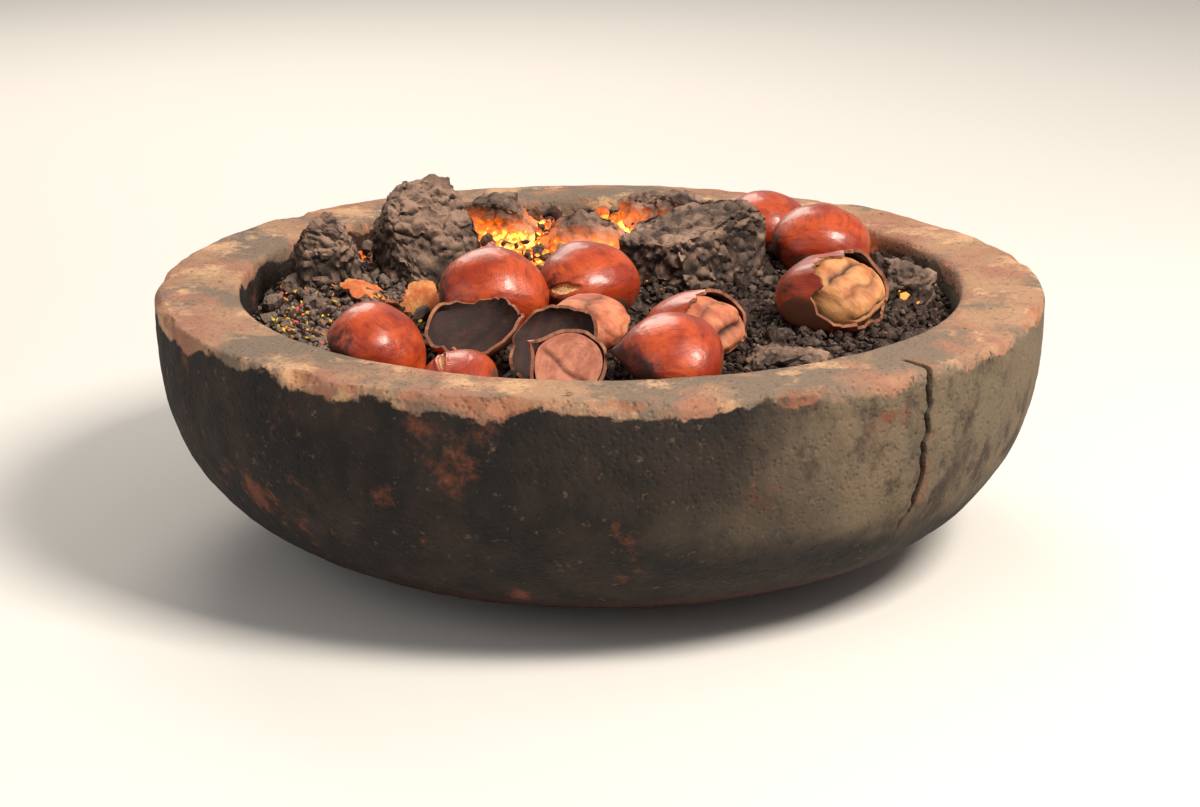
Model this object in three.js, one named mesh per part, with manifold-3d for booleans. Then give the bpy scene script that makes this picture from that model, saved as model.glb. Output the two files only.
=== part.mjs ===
// Sweet chestnuts roasting on a bed of charcoal in a thick-walled clay fire bowl.
// Millimetres, +Z up. The origin is the middle of the bowl's foot, on the surface that it stands on.
// The front of the bowl faces -Y, +X is its right and +Y its back.
import * as THREE from "three";
import { mergeVertices } from "three/addons/utils/BufferGeometryUtils.js";
import Module from "manifold-3d";

const wasm = await Module();
wasm.setup();

// The bowl: a flat rim, a worn outer bevel, a rounded wall and a low turned foot.
const BOWL_RADIUS = 150;
const BOWL_HEIGHT = 90;
const RIM_WIDTH = 28;
const BEVEL_HEIGHT = 7;
const BEVEL_WIDTH = 5;
const LIP = 3;
const FOOT_RADIUS = 84;
const FOOT_HEIGHT = 7;
const BODY_FOOT_RADIUS = 92;
const CAVITY_FLOOR = 26;
const CAVITY_FOOT_RADIUS = 62;
const WALL_FULLNESS = 2.6;
const WALL_ROUNDNESS = 0.6;
const ROUND_STEPS = 40;

// The charcoal bed fills the cavity to a little under the rim, lowest at the left and the front.
const BED_LEVEL = 82;
const BED_RINGS = 5;
const BED_RISE_RIGHT = 3;
const BED_RISE_BACK = 3;
const BED_WAVE = 1.1;

// One chestnut: width across, length from base to tip, thickness, and how flat its flat side is.
const NUT = { width: 35, length: 31, thickness: 25, flatness: 0.72 };
const NUT_WIDEST = 0.43;
const SHELL_THICKNESS = 1.1;

// Neighbouring pieces keep this gap, and the hollows of the bed are this much wider than what lies in them.
const GAP = 0.35;
const HOLLOW_ROOM = 1.1;
const LUMP_HOLLOW_ROOM = 2.2;
const SETTLE_STEP = 0.4;

const CLAY = new THREE.MeshStandardMaterial({ color: 0x6b5546, roughness: 0.95, metalness: 0 });
const CHARCOAL = new THREE.MeshStandardMaterial({ color: 0x2b2624, roughness: 1, metalness: 0 });
const SHELL = new THREE.MeshStandardMaterial({ color: 0x8a2f18, roughness: 0.35, metalness: 0 });
const SHELL_INSIDE = new THREE.MeshStandardMaterial({ color: 0x4a2a1c, roughness: 0.8, metalness: 0 });
const KERNEL = new THREE.MeshStandardMaterial({ color: 0xd39a63, roughness: 0.7, metalness: 0 });

const part = new THREE.Group();

// ---------------------------------------------------------------- solids

// A geometry as a manifold-3d solid: only its positions count, with shared vertices merged.
function solidOf(geometry) {
  const bare = new THREE.BufferGeometry().setAttribute("position", geometry.getAttribute("position").clone());
  if (geometry.index) bare.setIndex(geometry.index.clone());
  const merged = mergeVertices(bare, 1e-4);
  return new wasm.Manifold(
    new wasm.Mesh({
      numProp: 3,
      vertProperties: new Float32Array(merged.attributes.position.array),
      triVerts: new Uint32Array(merged.index.array),
    }),
  );
}

function geometryOf(solid) {
  const mesh = solid.getMesh();
  const positions = new Float32Array(mesh.numVert * 3);
  for (let i = 0; i < mesh.numVert; i++) {
    positions.set(mesh.vertProperties.subarray(i * mesh.numProp, i * mesh.numProp + 3), i * 3);
  }
  return new THREE.BufferGeometry()
    .setAttribute("position", new THREE.BufferAttribute(positions, 3))
    .setIndex(new THREE.BufferAttribute(mesh.triVerts, 1));
}

// The solid that a mesh fills in the part's frame.
function worldSolid(mesh) {
  mesh.updateMatrixWorld(true);
  return solidOf(mesh.geometry.clone().applyMatrix4(mesh.matrixWorld));
}

function addMesh(name, geometry, material) {
  const mesh = new THREE.Mesh(geometry, material);
  mesh.name = name;
  part.add(mesh);
  return mesh;
}

// ---------------------------------------------------------------- bowl

// The radius of a rounded bowl wall, at a share of its height: foot radius at 0, rim radius at 1.
function wallRadius(foot, rim, share) {
  return foot + (rim - foot) * (1 - (1 - share) ** WALL_FULLNESS) ** WALL_ROUNDNESS;
}

// Points up a rounded wall, closer together near its foot, where it turns fastest.
function wallPoints(foot, rim, low, high, steps) {
  return Array.from({ length: steps + 1 }, (_, i) => {
    const share = (i / steps) ** 1.8;
    return new THREE.Vector2(wallRadius(foot, rim, share), low + (high - low) * share);
  });
}

// A quarter turn of an ellipse round a centre, from one angle to another, in degrees.
function arcPoints(cx, cy, rx, ry, from, to, steps) {
  return Array.from({ length: steps + 1 }, (_, i) => {
    const angle = THREE.MathUtils.degToRad(from + ((to - from) * i) / steps);
    return new THREE.Vector2(cx + rx * Math.cos(angle), cy + ry * Math.sin(angle));
  });
}

// A profile of radius and height, turned about +Z.
function turned(profile, steps) {
  return new THREE.LatheGeometry(profile, steps).rotateX(Math.PI / 2);
}

const cavityRadius = BOWL_RADIUS - RIM_WIDTH;
const cavityWall = wallPoints(CAVITY_FOOT_RADIUS, cavityRadius, CAVITY_FLOOR, BOWL_HEIGHT - LIP, 5);

function bowlGeometry() {
  const outside = wallPoints(BODY_FOOT_RADIUS, BOWL_RADIUS, FOOT_HEIGHT, BOWL_HEIGHT - BEVEL_HEIGHT, 6);
  const bevel = arcPoints(
    BOWL_RADIUS - BEVEL_WIDTH, BOWL_HEIGHT - BEVEL_HEIGHT, BEVEL_WIDTH, BEVEL_HEIGHT, 0, 90, 2,
  );
  const lip = arcPoints(cavityRadius + LIP, BOWL_HEIGHT - LIP, LIP, LIP, 90, 180, 2);
  const profile = [
    new THREE.Vector2(0, 0),
    new THREE.Vector2(FOOT_RADIUS, 0),
    new THREE.Vector2(FOOT_RADIUS, FOOT_HEIGHT),
    ...outside,
    ...bevel.slice(1),
    ...lip,
    ...cavityWall.toReversed().slice(1),
    new THREE.Vector2(0, CAVITY_FLOOR),
  ];
  return turned(profile, ROUND_STEPS);
}

// ---------------------------------------------------------------- charcoal bed

// The height of the bed's top: nearly level, rising a little to the right and the back.
function bedHeight(x, y) {
  const slope = (BED_RISE_BACK * y + BED_RISE_RIGHT * x) / cavityRadius;
  const waves = Math.sin(x / 13 + 1) * Math.cos(y / 11) + Math.sin((x + y) / 19);
  return BED_LEVEL + slope + BED_WAVE * waves;
}

// The cavity's wall up to a level.
function cavityWallBelow(level) {
  const below = cavityWall.filter((point) => point.y < level);
  const [low, high] = [below.at(-1), cavityWall[below.length]];
  return [...below, low.clone().lerp(high, (level - low.y) / (high.y - low.y))];
}

// The charcoal, kept off the bowl's wall by the gap, with a top that follows bedHeight.
function bedSolid() {
  const wall = cavityWallBelow(BED_LEVEL - GAP);
  const kept = wall.map((point) => new THREE.Vector2(point.x - 2 * GAP, point.y + GAP));
  const edge = kept.at(-1);
  const rings = Array.from(
    { length: BED_RINGS },
    (_, i) => new THREE.Vector2(edge.x * (1 - (i + 1) / BED_RINGS), edge.y),
  );
  const block = turned([new THREE.Vector2(0, CAVITY_FLOOR + GAP), ...kept, ...rings], ROUND_STEPS);
  const position = block.getAttribute("position");
  for (let i = 0; i < position.count; i++) {
    if (position.getZ(i) > BED_LEVEL - GAP / 2) {
      position.setZ(i, bedHeight(position.getX(i), position.getY(i)));
    }
  }
  return solidOf(block);
}

// ---------------------------------------------------------------- lumps of charcoal

// Smooth repeatable relief on a unit sphere, from -1 to 1.
function relief(x, y, z, seed) {
  const a = Math.sin(2.3 * x + 1.7 * y + seed) + Math.sin(2.9 * y - 2.1 * z + 2 * seed);
  const b = Math.sin(4.1 * z + 3.3 * x + 3 * seed) * 0.6;
  return (a + b) / 2.6;
}

// A rounded broken lump with the given half sizes.
function lumpGeometry([rx, ry, rz], seed, detail = 2) {
  const geometry = new THREE.IcosahedronGeometry(1, detail);
  const position = geometry.getAttribute("position");
  for (let i = 0; i < position.count; i++) {
    const [x, y, z] = [position.getX(i), position.getY(i), position.getZ(i)];
    const swell = 1 + 0.12 * relief(x, y, z, seed);
    position.setXYZ(i, x * swell * rx, y * swell * ry, z * swell * rz);
  }
  return geometryOf(solidOf(geometry));
}

// ---------------------------------------------------------------- chestnuts

// How wide a chestnut is at a share of its length: broad and round at the base, pointed at the tip.
function nutProfile(share) {
  if (share < NUT_WIDEST) {
    return (1 - (1 - share / NUT_WIDEST) ** 2.5) ** 0.45;
  }
  return (1 - ((share - NUT_WIDEST) / (1 - NUT_WIDEST)) ** 2.1) ** 0.66;
}

// A chestnut's skin, taken in by an inset, with its tip along +Z and its flat side towards -Y.
function nutGeometry(scale, inset = 0, around = 14) {
  const geometry = new THREE.SphereGeometry(1, around, Math.round(around * 0.65)).rotateX(Math.PI / 2);
  const width = NUT.width * scale - 2 * inset;
  const length = NUT.length * scale - 2 * inset;
  const thickness = NUT.thickness * scale - 2 * inset;
  const position = geometry.getAttribute("position");
  for (let i = 0; i < position.count; i++) {
    const [x, y, z] = [position.getX(i), position.getY(i), position.getZ(i)];
    const share = Math.acos(THREE.MathUtils.clamp(-z, -1, 1)) / Math.PI;
    const spread = Math.hypot(x, y);
    const reach = spread < 1e-6 ? 0 : nutProfile(share) / spread;
    const flat = y < 0 ? NUT.flatness : 1;
    position.setXYZ(
      i,
      (x * reach * width) / 2,
      (y * reach * flat * thickness) / 2,
      (share - NUT_WIDEST) * length,
    );
  }
  return geometryOf(solidOf(geometry));
}

// The round half of a chestnut's space, beyond a plane along its length.
function roundHalf(offset = 0) {
  const size = 4 * NUT.width;
  return solidOf(new THREE.BoxGeometry(size, size, size).translate(0, size / 2 + offset, 0));
}

// A chestnut's thin shell, before any of it is opened.
function shellSolid(scale, around) {
  const outside = solidOf(nutGeometry(scale, 0, around));
  return outside.subtract(solidOf(nutGeometry(scale, SHELL_THICKNESS, around)));
}

// The kernel that a shell holds, with the gap between them.
function kernelSolid(scale) {
  return solidOf(nutGeometry(scale, SHELL_THICKNESS + GAP));
}

// The space that a chestnut keeps round itself, in few faces.
function spaceOf(nut) {
  return nutGeometry(nut.scale, -HOLLOW_ROOM, 10);
}

// The same for a half, which is open towards its round side.
function halfSpaceOf(nut) {
  return geometryOf(solidOf(spaceOf(nut)).subtract(roundHalf(GAP)));
}

// A mouth with round ends, where a shell has split and curled back from its kernel.
function splitMouth(scale, mouth, around = 14) {
  const shape = new THREE.SphereGeometry(1, around, Math.round(around * 0.65));
  shape.scale(...mouth.half.map((size) => size * scale));
  shape.translate(...mouth.at.map((place) => place * scale));
  return solidOf(shape);
}

// ---------------------------------------------------------------- placing

// Turns a piece so that its tip points along a heading (0 is +X, 90 is +Y) at a rise above the level, with
// its round side up, and then rolls it about its tip's direction. Angles are in degrees.
function pose(mesh, heading, rise, roll) {
  const h = THREE.MathUtils.degToRad(heading);
  const r = THREE.MathUtils.degToRad(rise);
  const tip = new THREE.Vector3(Math.cos(h) * Math.cos(r), Math.sin(h) * Math.cos(r), Math.sin(r));
  const back = new THREE.Vector3(0, 0, 1).addScaledVector(tip, -tip.z).normalize();
  const side = new THREE.Vector3().crossVectors(back, tip);
  mesh.quaternion.setFromRotationMatrix(new THREE.Matrix4().makeBasis(side, back, tip));
  mesh.quaternion.premultiply(new THREE.Quaternion().setFromAxisAngle(tip, THREE.MathUtils.degToRad(roll)));
}

// Lowers meshes that move as one until their lowest point has sunk into the bed by sink, or until they
// meet the space that a piece already in place keeps round itself. Theirs is then kept too.
function settle(meshes, space, [x, y], sink) {
  const solids = meshes.map(worldSolid);
  const whole = solids.length === 1 ? solids[0] : wasm.Manifold.union(solids);
  let z = bedHeight(x, y) - sink - whole.boundingBox().min[2];
  while (keptSpaces.some((kept) => !whole.translate([x, y, z]).intersect(kept).isEmpty())) {
    z += SETTLE_STEP;
  }
  meshes.forEach((mesh) => mesh.position.set(x, y, z));
  keptSpaces.push(solidOf(space.clone().applyMatrix4(new THREE.Matrix4().compose(
    meshes[0].position, meshes[0].quaternion, new THREE.Vector3(1, 1, 1),
  ))));
}

// ---------------------------------------------------------------- assembly

const bowl = addMesh("bowl", bowlGeometry(), CLAY);
const keptSpaces = [worldSolid(bowl)];

// Lumps of charcoal: half sizes, place, turn about +Z, and how far they are sunk.
const LUMPS = [
  { name: "charcoal_lump_left", half: [13, 16, 20], at: [-95, 24], turn: 12, sink: 13, seed: 1 },
  { name: "charcoal_lump_left_tall", half: [22, 18, 24], at: [-60, 31], turn: -15, sink: 16, seed: 2 },
  { name: "charcoal_lump_right", half: [27, 21, 20], at: [34, 20], turn: 8, sink: 13, seed: 3 },
  { name: "charcoal_lump_front", half: [15, 12, 8], at: [60, -74], turn: 15, sink: 8, seed: 4 },
  { name: "charcoal_lump_back_left", half: [19, 16, 14], at: [-38, 82], turn: 30, sink: 10, seed: 5 },
  { name: "charcoal_lump_back", half: [17, 15, 13], at: [-8, 58], turn: 0, sink: 9, seed: 6 },
  { name: "charcoal_lump_back_right", half: [18, 14, 13], at: [22, 92], turn: -25, sink: 9, seed: 7 },
  { name: "charcoal_lump_side", half: [12, 11, 9], at: [103, 8], turn: 60, sink: 9, seed: 8 },
];
for (const lump of LUMPS) {
  const mesh = addMesh(lump.name, lumpGeometry(lump.half, lump.seed), CHARCOAL);
  mesh.rotation.z = THREE.MathUtils.degToRad(lump.turn);
  const space = lumpGeometry(lump.half.map((size) => size + LUMP_HOLLOW_ROOM), lump.seed, 1);
  settle([mesh], space, lump.at, lump.sink);
}

// Whole chestnuts: place, aim (heading, rise and roll of the tip), size and sink.
const WHOLE = [
  { name: "chestnut_front_left", at: [-71, -77], aim: [335, -25, -10], scale: 1.04, sink: 2 },
  { name: "chestnut_front_right", at: [24, -97], aim: [185, 8, -8], scale: 1.06, sink: 2 },
  { name: "chestnut_front_low", at: [-43, -96], aim: [170, -4, -20], scale: 0.88, sink: 9 },
  { name: "chestnut_middle_left", at: [-35, -35], aim: [95, 42, 6], scale: 1.04, sink: 1 },
  { name: "chestnut_middle", at: [-4, -18], aim: [125, 34, -8], scale: 1.02, sink: 0.5 },
  { name: "chestnut_back_right", at: [78, 36], aim: [80, 30, 10], scale: 1, sink: 2 },
  { name: "chestnut_far_right", at: [62, 70], aim: [160, 20, 0], scale: 0.96, sink: 3 },
];
for (const nut of WHOLE) {
  const mesh = addMesh(nut.name, nutGeometry(nut.scale), SHELL);
  pose(mesh, ...nut.aim);
  settle([mesh], spaceOf(nut), nut.at, nut.sink);
}

// Chestnuts that have burst: a shell with a mouth in it, and the kernel that shows there.
const SPLIT = [
  {
    name: "split_chestnut_middle", at: [31, -61], aim: [55, 12, 0], scale: 1, sink: 2,
    mouth: { at: [-14, 6, 1], half: [16, 13, 15] },
  },
  {
    name: "split_chestnut_right", at: [76, -38], aim: [48, 16, 0], scale: 1.1, sink: 1,
    mouth: { at: [-15, 9, 1], half: [16, 15, 16] },
  },
];
for (const nut of SPLIT) {
  const shell = shellSolid(nut.scale).subtract(splitMouth(nut.scale, nut.mouth));
  const meshes = [
    addMesh(nut.name + "_shell", geometryOf(shell), SHELL),
    addMesh(nut.name + "_kernel", geometryOf(kernelSolid(nut.scale)), KERNEL),
  ];
  meshes.forEach((mesh) => pose(mesh, ...nut.aim));
  settle(meshes, spaceOf(nut), nut.at, nut.sink);
}

// A kernel that has lost its shell.
const PEELED = { name: "peeled_chestnut", at: [-5, -59], aim: [60, 20, -10], scale: 0.94, sink: 2 };
const peeled = addMesh(PEELED.name, geometryOf(kernelSolid(PEELED.scale)), KERNEL);
pose(peeled, ...PEELED.aim);
settle([peeled], spaceOf(PEELED), PEELED.at, PEELED.sink);

// Half a chestnut, cut along its length, with its pale face open.
const HALF = { name: "half_chestnut", at: [-9, -104], aim: [180, 35, -55], scale: 0.78, sink: 4 };
const halfMeshes = [
  addMesh(HALF.name + "_shell", geometryOf(shellSolid(HALF.scale).subtract(roundHalf())), SHELL),
  addMesh(HALF.name + "_kernel", geometryOf(kernelSolid(HALF.scale).subtract(roundHalf())), KERNEL),
];
halfMeshes.forEach((mesh) => pose(mesh, ...HALF.aim));
settle(halfMeshes, halfSpaceOf(HALF), HALF.at, HALF.sink);

// Empty halves of shell, with their dark insides open.
const EMPTY = [
  { name: "empty_shell_left", at: [-40, -66], aim: [138, 6, -14], scale: 0.94, sink: 3 },
  { name: "empty_shell_middle", at: [-14, -85], aim: [150, 16, -42], scale: 0.86, sink: 3 },
];
for (const nut of EMPTY) {
  const mesh = addMesh(nut.name, geometryOf(shellSolid(nut.scale).subtract(roundHalf())), SHELL_INSIDE);
  pose(mesh, ...nut.aim);
  settle([mesh], halfSpaceOf(nut), nut.at, nut.sink);
}

// Curled flakes that have broken off a shell.
const FLAKES = [
  { name: "shell_flake_left", at: [-84, 4], aim: [70, 10, 20], half: [9, 6, 6], sink: 0.5 },
  { name: "shell_flake_middle", at: [-73, -19], aim: [20, 0, -25], half: [8, 7, 7], sink: 0.5 },
  { name: "shell_flake_right", at: [-57, -7], aim: [120, 40, -35], half: [8, 6, 8], sink: 1 },
];
for (const flake of FLAKES) {
  const cut = splitMouth(1, { at: [0, NUT.thickness / 2, 0], half: flake.half }, 8);
  const mesh = addMesh(flake.name, geometryOf(shellSolid(1, 12).intersect(cut)), SHELL_INSIDE);
  pose(mesh, ...flake.aim);
  settle([mesh], mesh.geometry, flake.at, flake.sink);
}

// The bed, with a hollow for everything that has sunk into it.
const hollowed = keptSpaces.slice(1).reduce((bed, space) => bed.subtract(space), bedSolid());
addMesh("charcoal_bed", geometryOf(hollowed), CHARCOAL);

export default part;
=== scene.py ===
"""Roasted chestnuts on glowing charcoal in a thick-rimmed clay fire bowl.

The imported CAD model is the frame. Every CAD node is replaced by a detailed piece in the same place: the
turned and chipped bowl, the bed of broken charcoal, the lumps, the nuts, their kernels and their shells.
All lengths are in metres, +Z is up and the bowl's front faces -Y.
"""

import logging
import math
from dataclasses import dataclass, field
from enum import Enum
from functools import cache

import bpy
import numpy as np
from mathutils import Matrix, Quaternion, Vector


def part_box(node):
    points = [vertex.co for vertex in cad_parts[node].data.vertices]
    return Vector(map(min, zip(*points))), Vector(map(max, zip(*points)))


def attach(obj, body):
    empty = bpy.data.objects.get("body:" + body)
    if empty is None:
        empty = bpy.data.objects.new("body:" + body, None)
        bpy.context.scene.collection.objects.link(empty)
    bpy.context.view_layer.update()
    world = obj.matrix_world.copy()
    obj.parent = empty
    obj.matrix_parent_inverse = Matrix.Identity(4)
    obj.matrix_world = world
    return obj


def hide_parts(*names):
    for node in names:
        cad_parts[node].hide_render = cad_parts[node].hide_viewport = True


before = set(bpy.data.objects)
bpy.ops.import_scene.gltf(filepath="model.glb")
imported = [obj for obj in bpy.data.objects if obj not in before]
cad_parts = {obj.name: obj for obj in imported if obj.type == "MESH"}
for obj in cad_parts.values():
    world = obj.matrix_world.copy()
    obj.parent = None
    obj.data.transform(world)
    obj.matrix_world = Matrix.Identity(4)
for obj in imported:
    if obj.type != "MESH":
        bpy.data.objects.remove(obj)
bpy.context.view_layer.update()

LOG = logging.getLogger("chestnut_bowl")
MM = 0.001
BODY = "root"


# --------------------------------------------------------------------------------------------- noise


def hashed(corners: np.ndarray, seed: int) -> np.ndarray:
    """Repeatable random numbers from 0 to 1, one for each row of an (n, 3) array of whole numbers."""
    key = corners @ np.array([73856093, 19349663, 83492791]) + seed * 2654435761
    key = ((key ^ (key >> 13)) * 1274126177) & 0xFFFFFFFF
    key = ((key ^ (key >> 15)) * 2246822519) & 0xFFFFFFFF
    return ((key ^ (key >> 16)) & 0xFFFF) / 65535.0


def smooth_noise(points: np.ndarray, cell: float, seed: int) -> np.ndarray:
    """Noise from -1 to 1 that changes smoothly over one cell.

    Args:
        points: An (n, 3) array of places.
        cell: The size of a cell, in the points' unit.
        seed: Which noise to use.

    Returns:
        One value for each point.
    """
    scaled = points / cell
    base = np.floor(scaled).astype(np.int64)
    part = scaled - base
    part = part * part * (3.0 - 2.0 * part)
    total = np.zeros(len(points))
    for corner in np.ndindex(2, 2, 2):
        weight = np.prod(np.where(corner, part, 1.0 - part), axis=1)
        total += weight * hashed(base + corner, seed)
    return 2.0 * total - 1.0


def fractal_noise(points: np.ndarray, cell: float, seed: int, octaves: int = 4) -> np.ndarray:
    """Sums smooth noise at ever finer cells.

    Args:
        points: An (n, 3) array of places.
        cell: The size of the coarsest cell.
        seed: Which noise to use.
        octaves: How many sizes are summed.

    Returns:
        One value for each point, mostly from -1 to 1.
    """
    total = np.zeros(len(points))
    for level in range(octaves):
        total += smooth_noise(points, cell / 2**level, seed + 17 * level) / 2**level
    return total / 1.6


def cell_noise(points: np.ndarray, cell: float, seed: int) -> tuple[np.ndarray, np.ndarray, np.ndarray]:
    """Distances to the scattered middles of cells, as in cracked or crumbly stuff.

    Args:
        points: An (n, 3) array of places.
        cell: The mean size of a cell.
        seed: Which cells to use.

    Returns:
        The distance to the nearest middle, the distance to the next one, both in cells, and a number from
        0 to 1 that is the same all over a cell.
    """
    scaled = points / cell
    base = np.floor(scaled).astype(np.int64)
    nearest = np.full(len(points), 9.0)
    second = np.full(len(points), 9.0)
    tone = np.zeros(len(points))
    for offset in np.ndindex(3, 3, 3):
        corner = base + np.array(offset) - 1
        middle = corner + np.stack([hashed(corner, seed + axis) for axis in range(3)], axis=1)
        gap = np.linalg.norm(middle - scaled, axis=1)
        closer = gap < nearest
        second = np.where(closer, nearest, np.minimum(second, gap))
        tone = np.where(closer, hashed(corner, seed + 7), tone)
        nearest = np.where(closer, gap, nearest)
    return nearest, second, tone


def ease(value: np.ndarray, low: float, high: float) -> np.ndarray:
    """Goes smoothly from 0, where the value is low or less, to 1, where it is high or more."""
    share = np.clip((value - low) / (high - low), 0.0, 1.0)
    return share * share * (3.0 - 2.0 * share)


def unit(vectors: np.ndarray) -> np.ndarray:
    """Scales one vector, or each row of an array, to a length of 1."""
    vectors = np.asarray(vectors, float)
    return vectors / np.linalg.norm(vectors, axis=-1, keepdims=True)


def angle_from(toward: tuple[float, float, float], directions: np.ndarray) -> np.ndarray:
    """The angle between one direction and each of many unit vectors, in radians."""
    return np.arccos(np.clip(directions @ unit(toward), -1.0, 1.0))


def box_of(node: str) -> tuple[np.ndarray, np.ndarray]:
    """Reads the lowest and the highest corner of a CAD node's box."""
    low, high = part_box(node)
    return np.array(low), np.array(high)


# ------------------------------------------------------------------------------------------- modelling


class Bench:
    """The modelling steps that all pieces share."""

    @staticmethod
    def deselect() -> None:
        """Leaves nothing selected, in object mode."""
        if bpy.context.object and bpy.context.object.mode != "OBJECT":
            bpy.ops.object.mode_set(mode="OBJECT")
        bpy.ops.object.select_all(action="DESELECT")

    @classmethod
    def activate(cls, piece: bpy.types.Object) -> None:
        """Makes a piece the active one and the only one selected."""
        cls.deselect()
        bpy.context.view_layer.objects.active = piece
        piece.select_set(True)

    @classmethod
    def primitive(cls, name: str, operator: object, **sizes: object) -> bpy.types.Object:
        """Starts a piece by one of the bpy.ops.mesh operators, with the operator's own settings."""
        cls.deselect()
        operator(**sizes)
        piece = bpy.context.object
        piece.name = name
        piece.data.name = name
        return piece

    @staticmethod
    def points(piece: bpy.types.Object) -> np.ndarray:
        """Reads the places of a piece's vertices as an (n, 3) array."""
        places = np.empty(len(piece.data.vertices) * 3)
        piece.data.vertices.foreach_get("co", places)
        return places.reshape(-1, 3)

    @staticmethod
    def normals(piece: bpy.types.Object) -> np.ndarray:
        """Reads the outward directions at a piece's vertices as an (n, 3) array."""
        directions = np.empty(len(piece.data.vertices) * 3)
        piece.data.vertex_normals.foreach_get("vector", directions)
        return directions.reshape(-1, 3)

    @staticmethod
    def move_to(piece: bpy.types.Object, places: np.ndarray) -> None:
        """Puts a piece's vertices at new places, given as an (n, 3) array."""
        piece.data.vertices.foreach_set("co", places.reshape(-1))
        piece.data.update()

    @staticmethod
    def note(piece: bpy.types.Object, name: str, values: np.ndarray) -> None:
        """Keeps a number or a vector with each vertex, for a material to read.

        Args:
            piece: The piece that keeps it.
            name: The attribute's name.
            values: An (n,) or (n, 3) array.
        """
        kind = "FLOAT" if values.ndim == 1 else "FLOAT_VECTOR"
        key = "value" if values.ndim == 1 else "vector"
        kept = piece.data.attributes.get(name) or piece.data.attributes.new(name, kind, "POINT")
        kept.data.foreach_set(key, np.ascontiguousarray(values, dtype=np.float32).reshape(-1))

    @classmethod
    def edit(cls, piece: bpy.types.Object, chosen: np.ndarray | None = None) -> None:
        """Enters edit mode on a piece, with the chosen vertices selected, or all if None."""
        cls.activate(piece)
        bpy.ops.object.mode_set(mode="EDIT")
        bpy.ops.mesh.select_mode(type="VERT")
        bpy.ops.mesh.select_all(action="SELECT" if chosen is None else "DESELECT")
        if chosen is not None:
            bpy.ops.object.mode_set(mode="OBJECT")
            piece.data.vertices.foreach_set("select", chosen.astype(bool))
            bpy.ops.object.mode_set(mode="EDIT")

    @classmethod
    def apply(cls, piece: bpy.types.Object, name: str, kind: str, **settings: object) -> None:
        """Gives a piece a modifier of a kind, with its own settings, and applies it at once."""
        cls.activate(piece)
        modifier = piece.modifiers.new(name, kind)
        for key, value in settings.items():
            setattr(modifier, key, value)
        bpy.ops.object.modifier_apply(modifier=modifier.name)

    @classmethod
    def smooth(cls, piece: bpy.types.Object, sharp: float | None = None) -> None:
        """Shades a piece smooth, but for edges sharper than an angle in degrees, if one is given."""
        cls.activate(piece)
        if sharp is None:
            bpy.ops.object.shade_smooth()
        else:
            bpy.ops.object.shade_smooth_by_angle(angle=math.radians(sharp))

    @classmethod
    def recalculate(cls, piece: bpy.types.Object) -> None:
        """Turns all of a closed piece's faces outwards."""
        cls.edit(piece)
        bpy.ops.mesh.normals_make_consistent(inside=False)
        cls.deselect()

    @classmethod
    def subdivided(cls, piece: bpy.types.Object, levels: int) -> None:
        """Rounds a piece by a subdivision surface, which splits each face in four at every level."""
        cls.apply(piece, "rounding", "SUBSURF", levels=levels, render_levels=levels)

    @classmethod
    def thickened(cls, piece: bpy.types.Object, thickness: float, offset: float) -> None:
        """Makes a skin solid, with its second material on the new side and its third on the edge.

        Args:
            piece: The skin.
            thickness: How thick it becomes.
            offset: Where the skin lies in it: -1 on its outside, 0 in its middle.
        """
        settings = {"thickness": thickness, "offset": offset, "material_offset": 1, "material_offset_rim": 2}
        cls.apply(piece, "thickness", "SOLIDIFY", **settings)

    @staticmethod
    def paint(piece: bpy.types.Object, *finishes: bpy.types.Material) -> None:
        """Gives a piece its materials and no others."""
        piece.data.materials.clear()
        for finish in finishes:
            piece.data.materials.append(finish)


def hand_over(piece: bpy.types.Object, slot: str, *nodes: str) -> None:
    """Fixes a finished piece to the object, hides the CAD nodes that it replaces and logs its vertex count.

    Args:
        piece: The finished piece.
        slot: Not used.
        nodes: The CAD nodes that it replaces.
    """
    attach(piece, BODY)
    if nodes:
        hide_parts(*nodes)
    LOG.info("%s: %d vertices", piece.name, len(piece.data.vertices))


# -------------------------------------------------------------------------------------------- materials


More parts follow.
